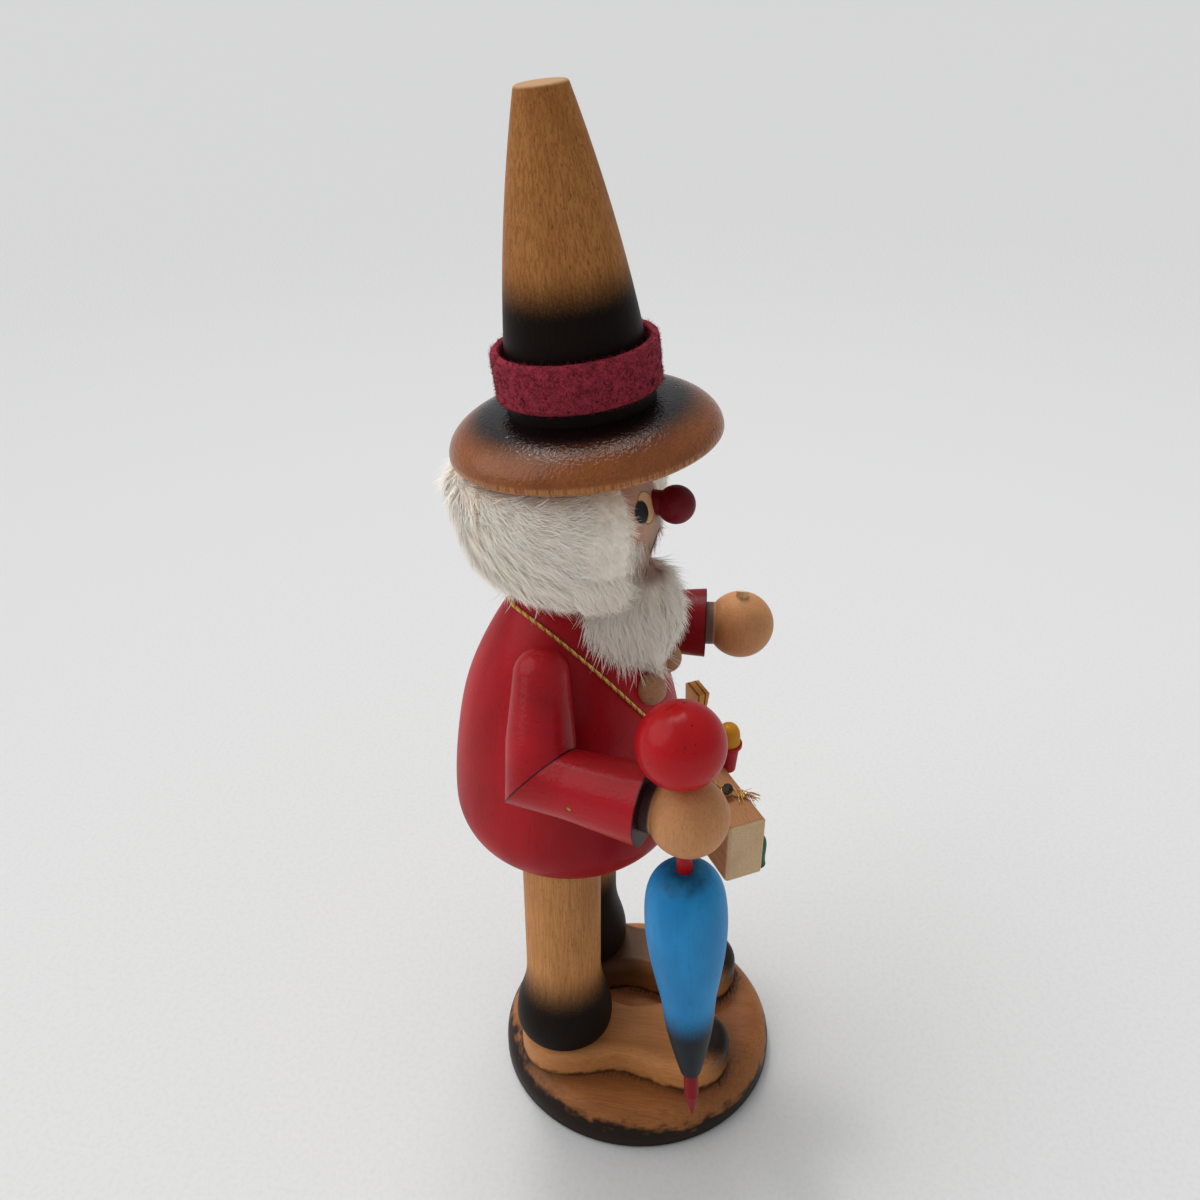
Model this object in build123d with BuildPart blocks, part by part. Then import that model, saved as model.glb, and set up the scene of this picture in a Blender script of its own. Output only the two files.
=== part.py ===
"""Turned wooden incense smoker: a bearded gnome pedlar with an umbrella and a tray on a cord.

The frame is millimetres, +Z up, origin at the centre of the base's underside. The feet point
along -Y. The upper body is symmetric about its own axis and stands turned a little on the legs.
"""
import os
from math import cos, pi, radians, sin, sqrt, tan

from build123d import *

os.makedirs("parts", exist_ok=True)

# Base
BASE_RADIUS = 40.0
BASE_HEIGHT = 10.0
BASE_FLAT_RADIUS = 33.0
BASE_RIM_HEIGHT = 3.0
BASE_FOOT_CHAMFER = 0.8

# Feet and legs
BODY_X = 1.75
BODY_Y = 20.0
LEG_X = 15.75
LEG_RADIUS = 10.5
BOOT_RADIUS = 13.8
BOOT_SOLE_RADIUS = 12.0
BOOT_BULGE_HEIGHT = 5.5
BOOT_HEIGHT = 25.0
FOOT_HEIGHT = 10.0
FOOT_HEEL_RADIUS = 12.6
FOOT_WAIST = 8.8
FOOT_TOE_RADIUS = 12.4
FOOT_TOE_REACH = 36.0
FOOT_ROUNDING = 3.6
ANKLE_DOWEL_RADIUS = 3.0
ANKLE_DOWEL_IN_BASE = 6.0
ANKLE_DOWEL_IN_LEG = 12.0
LEG_LENGTH = 61.8
HIP_DOWEL_RADIUS = 3.0
HIP_DOWEL_IN_LEG = 14.0
HIP_DOWEL_IN_PLUG = 7.0

# Turned body, its heights measured up from its underside on the legs
BODY_TURN = -5.0
BODY_HEIGHT = 78.2
BODY_BOTTOM = BASE_HEIGHT + FOOT_HEIGHT + LEG_LENGTH
BODY_SEAM = BODY_BOTTOM + 3.7
BODY_RADIUS = 30.9
BODY_FLAT_RADIUS = 18.5
BODY_BELLY = BODY_BOTTOM + 15.7
BODY_CHEST = BODY_BOTTOM + 34.9
BODY_CHEST_RADIUS = 29.3
BODY_BREAST = BODY_BOTTOM + 49.0
BODY_BREAST_RADIUS = 26.4
BODY_SHOULDER = BODY_BOTTOM + 63.1
BODY_SHOULDER_RADIUS = 20.5
BODY_TOP = BODY_BOTTOM + BODY_HEIGHT
BODY_TOP_RADIUS = 9.8
NECK_RADIUS = 7.0
NECK_HEIGHT = 5.0

# Smoke chamber and the plug that the body lifts off
SPIGOT_RADIUS = 19.0
SPIGOT_HEIGHT = 12.0
SPIGOT_CLEARANCE = 0.3
SPIGOT_CHAMFER = 1.0
CHAMBER_SHOULDER = BODY_BOTTOM + 39.2
CHAMBER_TOP = BODY_TOP - 11.0
SMOKE_HOLE_RADIUS = 4.0
DRAUGHT_HOLE_RADIUS = 3.4
DRAUGHT_HOLE_Y = 13.0
PLATE_RADIUS = 8.6
PLATE_SHEET = 0.6
PLATE_RIM = 2.4
PLATE_RIM_FLARE = 1.6
NAIL_RADIUS = 0.9
NAIL_HEAD_RADIUS = 2.0
NAIL_HEAD = 0.8
NAIL_LENGTH = 8.0

# Head, nose and face openings, measured from the body's top and the head's centre
HEAD_RADIUS = 19.5
HEAD_Y = -3.0
HEAD_Z = BODY_TOP + 18.1
MOUTH_RADIUS = 3.5
MOUTH_Z = HEAD_Z - 5.1
SMOKE_RISE = MOUTH_Z + SMOKE_HOLE_RADIUS
NOSE_RADIUS = 4.6
NOSE_NECK_RADIUS = 3.0
NOSE_PEG_RADIUS = 1.8
NOSE_PEG_LENGTH = 9.0
NOSE_Z = HEAD_Z + 5.4
NOSE_REACH = 4.6

# Hair and beard, the outer shape of the fur
HAIR_RADIUS = 30.5
HAIR_HEM = HEAD_Z - 15.6
HAIR_HEM_RADIUS = 18.0
HAIR_PARTING = 100.0
HAIR_SWELL = 2.0
HAIR_LIP = 12.0
BEARD_RADIUS = 15.0
BEARD_LENGTH = 38.0
BEARD_WIDEST = 23.6
BEARD_TIP_RADIUS = 3.0
BEARD_LEAN = 16.0
BEARD_Y = -21.3
BEARD_TOP = HEAD_Z - 9.1

# Hat
HAT_TILT = 6.8
HAT_Y = -5.2
HAT_Z = HEAD_Z + 18.2
BRIM_RADIUS = 31.6
BRIM_EDGE = 2.3
BRIM_SEAT_RADIUS = 24.0
BRIM_HEIGHT = 10.7
CROWN_RADIUS = 17.0
CROWN_TOP_RADIUS = 5.6
CROWN_HEIGHT = 67.0
CROWN_MIDDLE_RADIUS = 12.9
CROWN_TOP_ROUNDING = 0.9
CROWN_TENON_RADIUS = 6.0
CROWN_TENON_LENGTH = 17.0
BAND_THICKNESS = 1.8
BAND_HEIGHT = 10.8
BAND_LIFT = 3.4

# Arms and hands
SHOULDER_X = 24.8
SHOULDER_Z = BODY_TOP - 12.1
SHOULDER_RADIUS = 6.7
ELBOW_X = 36.0
ELBOW_Y = -2.5
ELBOW_Z = SHOULDER_Z - 20.8
ARM_RADIUS = 8.3
FOREARM_SPLAY = 9.4
SLEEVE_LENGTH = 27.0
CUFF_RADIUS = 9.7
WRIST_RADIUS = 6.0
WRIST_TENON_RADIUS = 3.0
WRIST_TENON_LENGTH = 9.0
HAND_RADIUS = 9.4
HAND_REACH = 36.8
SHOULDER_DOWEL_RADIUS = 2.0
SHOULDER_DOWEL_LENGTH = 12.0
SHOULDER_DOWEL_Z = SHOULDER_Z - 4.9
BRAD_RADIUS = 0.6
BRAD_LENGTH = 6.0
BRAD_REACH = 11.0
STUB_RADIUS = 1.7
STUB_LENGTH = 9.0
STUB_PROUD = 2.6
STUB_BREAK = 25.0

# Buttons
BUTTON_RADIUS = 3.9
BUTTON_ANGLE = {"right": -21.5, "left": 13.0}
BUTTON_Z = BODY_BREAST + 6.2
BUTTON_STAND_OFF = 1.2
BEARD_BUTTON_GAP = 0.3

# Umbrella, measured along its stick from the middle of the hand
UMBRELLA_LEAN = 3.4
KNOB_RADIUS = 10.1
KNOB_REST = 0.25
STICK_RADIUS = 1.9
STICK_OFFSET = 1.2
STICK_CLEARANCE = 0.1
STICK_IN_KNOB = 9.0
STICK_IN_CANOPY = 14.0
STICK_SHOWN = 6.6
CANOPY_RADIUS = 9.8
CANOPY_LENGTH = 69.4
CANOPY_NECK_RADIUS = 3.4
CANOPY_END_RADIUS = 2.7
CANOPY_SHOULDER = 11.0
CANOPY_TAPER = 41.6
CANOPY_TAPER_RADIUS = 6.96
TIP_RADIUS = 1.9
TIP_TENON_RADIUS = 1.3
TIP_TENON_LENGTH = 9.0
TIP_LENGTH = 17.4
TIP_POINT = 8.0
TIP_END_RADIUS = 0.3

# Tray and its wares, placed from the tray's top and the middle of its length
TRAY_TURN = 36.0
TRAY_LENGTH = 53.0
TRAY_DEPTH = 11.2
TRAY_HEIGHT = 19.0
TRAY_TOP = BODY_BOTTOM + 13.8
TRAY_SHIFT = -7.1
TRAY_GAP = 0.3
TRAY_CHAMFER = 0.9
CORD_NAIL_RADIUS = 0.7
CORD_NAIL_HEAD_RADIUS = 1.5
CORD_NAIL_HEAD = 0.6
CORD_NAIL_PROUD = 3.0
CORD_NAIL_DEPTH = 7.0
CORD_NAIL_LEAN = 35.0
CORD_NAIL_X = (-12.5, 16.0)
BELL_X = -22.9
BELL_RADIUS = 2.9
BELL_CROWN_RADIUS = 1.6
BELL_HEIGHT = 9.4
BELL_TOP = -8.6
BELL_STAND_OFF = -0.4
TUB_X = -0.2
TUB_RIM_RADIUS = 3.9
TUB_RADIUS = 3.2
TUB_FOOT_RADIUS = 2.5
TUB_HEIGHT = 9.0
TUB_RIM = 1.0
TUB_TOP = 6.2
TUB_STAND_OFF = 1.8
DOME_RADIUS = 3.3
DOME_HEIGHT = 6.2
BOX_X = 20.1
BOX_WIDTH = 7.2
BOX_FOOT_WIDTH = 5.0
BOX_DEPTH = 4.2
BOX_HEIGHT = 15.0
BOX_TOP = 11.3

# Neck cord, its route from the near nail over the chest and round the neck to the far nail
CORD_DIAMETER = 1.0
CORD_LIFT = 1.8
CORD_NAIL_GAP = 0.15
CORD_BEND_SHARE = 0.45
CORD_CHEST = (15.6, -23.1, BODY_BREAST + 2.8)
CORD_SHOULDER = (18.6, -9.7, BODY_SHOULDER + 3.5)
CORD_COLLAR = (15.4, 4.2, BODY_TOP - 3.5)
CORD_NAPE = (7.6, 14.4, BODY_TOP - 3.2)

GLUE_GAP = 0.05
SIDES = {"right": -1, "left": 1}


def at(x, y, z, rx=0.0, ry=0.0, rz=0.0):
    """A place in the upper body's own frame, whose origin is under the body's axis."""
    return Location((BODY_X, BODY_Y, 0), (0, 0, BODY_TURN)) * Location((x, y, z), (rx, ry, rz))


def upright(place):
    """The sketch plane that holds a place's x and z axes."""
    return Plane(place * Location((0, 0, 0), (90, 0, 0)))


def spin_axis(place):
    """The z axis of a place."""
    return Axis(Plane(place).origin, Plane(place).z_dir)


body = at(0, 0, 0)
head_place = at(0, HEAD_Y, HEAD_Z)
hat = at(0, HAT_Y, HAT_Z, rx=-HAT_TILT)
leg_places = {name: Location((BODY_X + side * LEG_X, BODY_Y, 0)) for name, side in SIDES.items()}

# Base: a disc with a rounded rim and two dowel holes
with BuildPart() as base_disc:
    with BuildSketch(Plane.XZ):
        with BuildLine():
            Polyline(
                (BASE_FLAT_RADIUS, BASE_HEIGHT),
                (0, BASE_HEIGHT),
                (0, 0),
                (BASE_RADIUS - BASE_FOOT_CHAMFER, 0),
                (BASE_RADIUS, BASE_FOOT_CHAMFER),
                (BASE_RADIUS, BASE_RIM_HEIGHT),
            )
            EllipticalCenterArc(
                (BASE_FLAT_RADIUS, BASE_RIM_HEIGHT),
                BASE_RADIUS - BASE_FLAT_RADIUS,
                BASE_HEIGHT - BASE_RIM_HEIGHT,
                start_angle=0,
                arc_size=90,
            )
        make_face()
    revolve(axis=Axis.Z)
    with BuildSketch(Plane.XY.offset(BASE_HEIGHT)):
        with Locations(*[place.position for place in leg_places.values()]):
            Circle(ANKLE_DOWEL_RADIUS + GLUE_GAP)
    extrude(amount=-ANKLE_DOWEL_IN_BASE, mode=Mode.SUBTRACT)
base_disc.part.label = "base_disc"
export_step(base_disc.part, "parts/base_disc.step")

# The outer form of the body, from which the plug's flange and the shell are parted at the seam
with BuildPart() as body_form:
    with BuildSketch(upright(body)):
        with BuildLine():
            EllipticalCenterArc(
                (BODY_FLAT_RADIUS, BODY_BELLY),
                BODY_RADIUS - BODY_FLAT_RADIUS,
                BODY_BELLY - BODY_BOTTOM,
                start_angle=-90,
                arc_size=90,
            )
            Spline(
                (BODY_RADIUS, BODY_BELLY),
                (BODY_CHEST_RADIUS, BODY_CHEST),
                (BODY_BREAST_RADIUS, BODY_BREAST),
                (BODY_SHOULDER_RADIUS, BODY_SHOULDER),
                (BODY_TOP_RADIUS, BODY_TOP),
                tangents=[(0, 1), (-0.75, 0.66)],
            )
            Polyline(
                (BODY_TOP_RADIUS, BODY_TOP),
                (0, BODY_TOP),
                (0, BODY_BOTTOM),
                (BODY_FLAT_RADIUS, BODY_BOTTOM),
            )
        make_face()
    revolve(axis=spin_axis(body))

# Feet, legs and their dowels
leg_foot = BASE_HEIGHT + FOOT_HEIGHT
ankle_bottom = BASE_HEIGHT - ANKLE_DOWEL_IN_BASE
ankle_top = leg_foot + ANKLE_DOWEL_IN_LEG
hip_bottom = BODY_BOTTOM - HIP_DOWEL_IN_LEG
hip_top = BODY_BOTTOM + HIP_DOWEL_IN_PLUG
for name, side in SIDES.items():
    place = leg_places[name]
    with BuildPart() as foot:
        with BuildSketch(Plane(place).offset(BASE_HEIGHT)):
            with BuildLine():
                for hand in (-1, 1):
                    Spline(
                        (hand * FOOT_HEEL_RADIUS, 0),
                        (hand * FOOT_WAIST, -FOOT_TOE_REACH / 2),
                        (hand * FOOT_TOE_RADIUS, -FOOT_TOE_REACH),
                        tangents=[(0, -1), (0, -1)],
                    )
                ThreePointArc((-FOOT_HEEL_RADIUS, 0), (0, FOOT_HEEL_RADIUS), (FOOT_HEEL_RADIUS, 0))
                ThreePointArc(
                    (-FOOT_TOE_RADIUS, -FOOT_TOE_REACH),
                    (0, -FOOT_TOE_REACH - FOOT_TOE_RADIUS),
                    (FOOT_TOE_RADIUS, -FOOT_TOE_REACH),
                )
            make_face()
        extrude(amount=FOOT_HEIGHT)
        fillet(foot.faces().sort_by(Axis.Z)[-1].edges(), FOOT_ROUNDING)
        with Locations(place * Location((0, 0, BASE_HEIGHT))):
            Cylinder(
                ANKLE_DOWEL_RADIUS + GLUE_GAP,
                FOOT_HEIGHT,
                align=(Align.CENTER, Align.CENTER, Align.MIN),
                mode=Mode.SUBTRACT,
            )
    foot.part.label = f"{name}_foot"
    export_step(foot.part, f"parts/{name}_foot.step")

    with BuildPart() as leg:
        with BuildSketch(upright(place)):
            with BuildLine():
                Line((0, leg_foot), (BOOT_SOLE_RADIUS, leg_foot))
                Spline(
                    (BOOT_SOLE_RADIUS, leg_foot),
                    (BOOT_RADIUS, leg_foot + BOOT_BULGE_HEIGHT),
                    (LEG_RADIUS, leg_foot + BOOT_HEIGHT),
                    tangents=[(0.9, 0.44), (0, 1)],
                )
                Polyline(
                    (LEG_RADIUS, leg_foot + BOOT_HEIGHT),
                    (LEG_RADIUS, BODY_SEAM),
                    (0, BODY_SEAM),
                    (0, leg_foot),
                )
            make_face()
        revolve(axis=spin_axis(place))
        add(body_form.part, mode=Mode.SUBTRACT)
        with Locations(place * Location((0, 0, leg_foot))):
            Cylinder(
                ANKLE_DOWEL_RADIUS + GLUE_GAP,
                ANKLE_DOWEL_IN_LEG,
                align=(Align.CENTER, Align.CENTER, Align.MIN),
                mode=Mode.SUBTRACT,
            )
        with Locations(place * Location((0, 0, hip_bottom))):
            Cylinder(
                HIP_DOWEL_RADIUS + GLUE_GAP,
                HIP_DOWEL_IN_LEG * 2,
                align=(Align.CENTER, Align.CENTER, Align.MIN),
                mode=Mode.SUBTRACT,
            )
    leg.part.label = f"{name}_leg"
    export_step(leg.part, f"parts/{name}_leg.step")

    with BuildPart() as ankle_dowel:
        with BuildSketch(Plane(place).offset(ankle_bottom)):
            Circle(ANKLE_DOWEL_RADIUS)
        extrude(amount=ankle_top - ankle_bottom)
    ankle_dowel.part.label = f"{name}_ankle_dowel"
    export_step(ankle_dowel.part, f"parts/{name}_ankle_dowel.step")

    with BuildPart() as hip_dowel:
        with BuildSketch(Plane(place).offset(hip_bottom)):
            Circle(HIP_DOWEL_RADIUS)
        extrude(amount=hip_top - hip_bottom)
    hip_dowel.part.label = f"{name}_hip_dowel"
    export_step(hip_dowel.part, f"parts/{name}_hip_dowel.step")

# Leg plug: the body's underside with a spigot, two draught holes and a nail hole
spigot_top = BODY_SEAM + SPIGOT_HEIGHT
with BuildPart() as leg_plug:
    add(body_form.part)
    split(bisect_by=Plane.XY.offset(BODY_SEAM), keep=Keep.BOTTOM)
    with BuildSketch(Plane(body).offset(BODY_SEAM)):
        Circle(SPIGOT_RADIUS)
    extrude(amount=SPIGOT_HEIGHT)
    chamfer(leg_plug.edges().group_by(Axis.Z)[-1], SPIGOT_CHAMFER)
    with BuildSketch(Plane(body).offset(BODY_BOTTOM)):
        with Locations((0, -DRAUGHT_HOLE_Y), (0, DRAUGHT_HOLE_Y)):
            Circle(DRAUGHT_HOLE_RADIUS)
    extrude(amount=spigot_top - BODY_BOTTOM, mode=Mode.SUBTRACT)
    with BuildSketch(Plane.XY.offset(BODY_BOTTOM)):
        with Locations(*[place.position for place in leg_places.values()]):
            Circle(HIP_DOWEL_RADIUS + GLUE_GAP)
    extrude(amount=HIP_DOWEL_IN_PLUG, mode=Mode.SUBTRACT)
    with BuildSketch(Plane(body).offset(spigot_top)):
        Circle(NAIL_RADIUS + GLUE_GAP)
    extrude(amount=-NAIL_LENGTH, mode=Mode.SUBTRACT)
leg_plug.part.label = "leg_plug"
export_step(leg_plug.part, "parts/leg_plug.step")

# Incense plate: a pressed sheet dish, and the nail that holds it
plate = at(0, 0, spigot_top)
with BuildPart() as incense_plate:
    with BuildSketch(upright(plate)):
        with BuildLine():
            Polyline(
                (NAIL_RADIUS + GLUE_GAP, 0),
                (PLATE_RADIUS, 0),
                (PLATE_RADIUS + PLATE_RIM_FLARE, PLATE_RIM),
                (PLATE_RADIUS + PLATE_RIM_FLARE - PLATE_SHEET, PLATE_RIM),
                (PLATE_RADIUS - PLATE_SHEET, PLATE_SHEET),
                (NAIL_RADIUS + GLUE_GAP, PLATE_SHEET),
                close=True,
            )
        make_face()
    revolve(axis=spin_axis(plate))
incense_plate.part.label = "incense_plate"
export_step(incense_plate.part, "parts/incense_plate.step")

with BuildPart() as plate_nail:
    with BuildSketch(Plane(plate).offset(-NAIL_LENGTH)):
        Circle(NAIL_RADIUS)
    extrude(amount=NAIL_LENGTH + PLATE_SHEET)
    with BuildSketch(Plane(plate).offset(PLATE_SHEET)):
        Circle(NAIL_HEAD_RADIUS)
    extrude(amount=NAIL_HEAD)
plate_nail.part.label = "plate_nail"
export_step(plate_nail.part, "parts/plate_nail.step")

# Arm frames: the upper arm lies along the body's side, the forearm points forward
arm_frames = {}
dowel_x = SHOULDER_X - SHOULDER_RADIUS
for name, side in SIDES.items():
    shoulder = Vector(side * SHOULDER_X, 0, SHOULDER_Z)
    elbow = Vector(side * ELBOW_X, ELBOW_Y, ELBOW_Z)
    upper = (elbow - shoulder).normalized()
    splay = radians(FOREARM_SPLAY)
    fore = Vector(side * sin(splay), -cos(splay), 0)
    out = Vector(side * cos(splay), sin(splay), 0)
    arm_frames[name] = {
        "shoulder": body * Plane(shoulder, z_dir=upper).location,
        "forearm": body * Plane(elbow, x_dir=out, z_dir=fore).location,
        "mitre": Plane(body * Plane(elbow, z_dir=upper + fore).location),
        "length": (elbow - shoulder).length,
        "dowel": body * Location((side * dowel_x, 0, SHOULDER_DOWEL_Z), (0, 90 * side, 0)),
    }
    arm_frames[name]["hand"] = arm_frames[name]["forearm"] * Location((0, 0, HAND_REACH))

# Torso shell: bored from below into the smoke chamber, with a channel up through the neck
chamber_radius = SPIGOT_RADIUS + SPIGOT_CLEARANCE
neck_top = BODY_TOP + NECK_HEIGHT
with BuildPart() as torso_shell:
    add(body_form.part)
    split(bisect_by=Plane.XY.offset(BODY_SEAM), keep=Keep.TOP)
    with BuildSketch(Plane(body).offset(BODY_TOP)):
        Circle(NECK_RADIUS)
    extrude(amount=NECK_HEIGHT)
    with BuildSketch(upright(body)):
        Polygon(
            (0, BODY_SEAM),
            (chamber_radius, BODY_SEAM),
            (chamber_radius, CHAMBER_SHOULDER),
            (SMOKE_HOLE_RADIUS, CHAMBER_TOP),
            (SMOKE_HOLE_RADIUS, neck_top),
            (0, neck_top),
            align=None,
        )
    revolve(axis=spin_axis(body), mode=Mode.SUBTRACT)
    with Locations(*[frame["dowel"] for frame in arm_frames.values()]):
        Cylinder(SHOULDER_DOWEL_RADIUS + GLUE_GAP, SHOULDER_DOWEL_LENGTH, mode=Mode.SUBTRACT)
torso_shell.part.label = "torso_shell"
export_step(torso_shell.part, "parts/torso_shell.step")

# Head: a ball, flat where it meets the body and the hat, bored from the neck to the mouth
nose_root = HEAD_Y - sqrt(HEAD_RADIUS**2 - (NOSE_Z - HEAD_Z) ** 2)
nose_place = at(0, nose_root, NOSE_Z, rx=90)
with BuildPart() as head:
    with Locations(head_place):
        Sphere(HEAD_RADIUS)
    split(bisect_by=Plane.XY.offset(BODY_TOP), keep=Keep.TOP)
    split(bisect_by=Plane(hat), keep=Keep.BOTTOM)
    with BuildSketch(Plane(body).offset(BODY_TOP)):
        Circle(NECK_RADIUS + GLUE_GAP)
    extrude(amount=NECK_HEIGHT, mode=Mode.SUBTRACT)
    with BuildSketch(Plane(body).offset(neck_top)):
        Circle(SMOKE_HOLE_RADIUS)
    extrude(amount=SMOKE_RISE - neck_top, mode=Mode.SUBTRACT)
    with BuildSketch(Plane(at(0, 0, MOUTH_Z, rx=90))):
        Circle(MOUTH_RADIUS)
    extrude(amount=HEAD_RADIUS * 2, mode=Mode.SUBTRACT)
    with BuildSketch(Plane(nose_place).offset(-NOSE_PEG_LENGTH)):
        Circle(NOSE_PEG_RADIUS + GLUE_GAP)
    extrude(amount=NOSE_PEG_LENGTH * 2, mode=Mode.SUBTRACT)
    with BuildSketch(Plane(hat)):
        Circle(CROWN_TENON_RADIUS + GLUE_GAP)
    extrude(amount=-(CROWN_TENON_LENGTH - BRIM_HEIGHT), mode=Mode.SUBTRACT)
head.part.label = "head"
export_step(head.part, "parts/head.step")

# Nose: a ball on a short neck, pegged into the face
with BuildPart() as nose:
    with Locations(nose_place * Location((0, 0, NOSE_REACH))):
        Sphere(NOSE_RADIUS)
    with BuildSketch(Plane(nose_place).offset(-NOSE_PEG_RADIUS)):
        Circle(NOSE_NECK_RADIUS)
    extrude(amount=NOSE_REACH)
    with Locations(head_place):
        Sphere(HEAD_RADIUS, mode=Mode.SUBTRACT)
    with BuildSketch(Plane(nose_place).offset(-NOSE_PEG_LENGTH)):
        Circle(NOSE_PEG_RADIUS)
    extrude(amount=NOSE_PEG_LENGTH + NOSE_REACH)
nose.part.label = "nose"
export_step(nose.part, "parts/nose.step")

# Hair: the outer shape of the fur round the back and sides of the head
hair_axis = at(0, HEAD_Y, 0, rz=HAIR_PARTING / 2 - 90)
with BuildPart() as hair:
    with BuildSketch(upright(hair_axis)):
        with BuildLine():
            Polyline(
                (HAIR_LIP * 2, HEAD_Z + HEAD_RADIUS),
                (HAIR_LIP, HEAD_Z + HEAD_RADIUS),
                (HAIR_LIP, HAIR_HEM + NECK_HEIGHT),
                (HAIR_HEM_RADIUS, HAIR_HEM),
            )
            Spline(
                (HAIR_HEM_RADIUS, HAIR_HEM),
                (HAIR_RADIUS - HAIR_SWELL, (HAIR_HEM + HEAD_Z) / 2 + HAIR_SWELL),
                (HAIR_RADIUS, HEAD_Z + HAIR_SWELL),
                (HAIR_LIP * 2, HEAD_Z + HEAD_RADIUS),
                tangents=[(1, 0.35), (-1, 0.6)],
            )
        make_face()
    revolve(axis=spin_axis(hair_axis), revolution_arc=360 - HAIR_PARTING)
    split(bisect_by=Plane(hat), keep=Keep.BOTTOM)
    with Locations(head_place):
        Sphere(HEAD_RADIUS, mode=Mode.SUBTRACT)
    add(body_form.part, mode=Mode.SUBTRACT)
hair.part.label = "hair"
export_step(hair.part, "parts/hair.step")

# Beard: a teardrop that hangs from the chin over the chest, clear of the two buttons
chest_slope = (BODY_SHOULDER_RADIUS - BODY_BREAST_RADIUS) / (BODY_SHOULDER - BODY_BREAST)
chest_radius = BODY_BREAST_RADIUS + chest_slope * (BUTTON_Z - BODY_BREAST)
button_places = {}
for name in SIDES:
    chest_place = at(0, 0, BUTTON_Z, rz=BUTTON_ANGLE[name])
    button_places[name] = chest_place * Location((0, -chest_radius - BUTTON_STAND_OFF, 0))
beard_place = at(0, BEARD_Y, BEARD_TOP - BEARD_LENGTH, rx=-BEARD_LEAN)
with BuildPart() as beard:
    with BuildSketch(upright(beard_place)):
        with BuildLine():
            Line((0, 0), (BEARD_TIP_RADIUS, 0))
            Spline(
                (BEARD_TIP_RADIUS, 0),
                (BEARD_RADIUS, BEARD_WIDEST),
                (0, BEARD_LENGTH),
                tangents=[(0.5, 1), (-1, 0)],
            )
            Line((0, BEARD_LENGTH), (0, 0))
        make_face()
    revolve(axis=spin_axis(beard_place))
    with Locations(head_place):
        Sphere(HEAD_RADIUS, mode=Mode.SUBTRACT)
    add(body_form.part, mode=Mode.SUBTRACT)
    add(hair.part, mode=Mode.SUBTRACT)
    with Locations(*button_places.values()):
        Sphere(BUTTON_RADIUS + BEARD_BUTTON_GAP, mode=Mode.SUBTRACT)
beard.part.label = "beard"
export_step(beard.part, "parts/beard.step")

# Hat: a saucer brim, a tall tapered crown with a tenon through the brim, and a felt band
with BuildPart() as hat_brim:
    with BuildSketch(upright(hat)):
        with BuildLine():
            EllipticalCenterArc(
                (BRIM_SEAT_RADIUS, BRIM_EDGE),
                BRIM_RADIUS - BRIM_SEAT_RADIUS,
                BRIM_EDGE,
                start_angle=-90,
                arc_size=90,
            )
            EllipticalCenterArc(
                (CROWN_RADIUS, BRIM_EDGE),
                BRIM_RADIUS - CROWN_RADIUS,
                BRIM_HEIGHT - BRIM_EDGE,
                start_angle=0,
                arc_size=90,
            )
            Polyline(
                (CROWN_RADIUS, BRIM_HEIGHT),
                (CROWN_TENON_RADIUS + GLUE_GAP, BRIM_HEIGHT),
                (CROWN_TENON_RADIUS + GLUE_GAP, 0),
                (BRIM_SEAT_RADIUS, 0),
            )
        make_face()
    revolve(axis=spin_axis(hat))
hat_brim.part.label = "hat_brim"
export_step(hat_brim.part, "parts/hat_brim.step")

with BuildPart() as hat_crown:
    with BuildSketch(upright(hat)):
        with BuildLine():
            Line((0, BRIM_HEIGHT), (CROWN_RADIUS, BRIM_HEIGHT))
            ThreePointArc(
                (CROWN_RADIUS, BRIM_HEIGHT),
                (CROWN_MIDDLE_RADIUS, BRIM_HEIGHT + CROWN_HEIGHT / 2),
                (CROWN_TOP_RADIUS, BRIM_HEIGHT + CROWN_HEIGHT),
            )
            Polyline(
                (CROWN_TOP_RADIUS, BRIM_HEIGHT + CROWN_HEIGHT),
                (0, BRIM_HEIGHT + CROWN_HEIGHT),
                (0, BRIM_HEIGHT),
            )
        make_face()
    revolve(axis=spin_axis(hat))
    fillet(hat_crown.edges().sort_by(Axis.Z)[-1], CROWN_TOP_ROUNDING)
    with BuildSketch(Plane(hat).offset(BRIM_HEIGHT)):
        Circle(CROWN_TENON_RADIUS)
    extrude(amount=-CROWN_TENON_LENGTH)
hat_crown.part.label = "hat_crown"
export_step(hat_crown.part, "parts/hat_crown.step")

with BuildPart() as hat_band:
    with BuildSketch(Plane(hat).offset(BRIM_HEIGHT + BAND_LIFT)):
        Circle(CROWN_RADIUS + BAND_THICKNESS)
    extrude(amount=BAND_HEIGHT)
    add(hat_crown.part, mode=Mode.SUBTRACT)
hat_band.part.label = "hat_band"
export_step(hat_band.part, "parts/hat_band.step")

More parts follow.
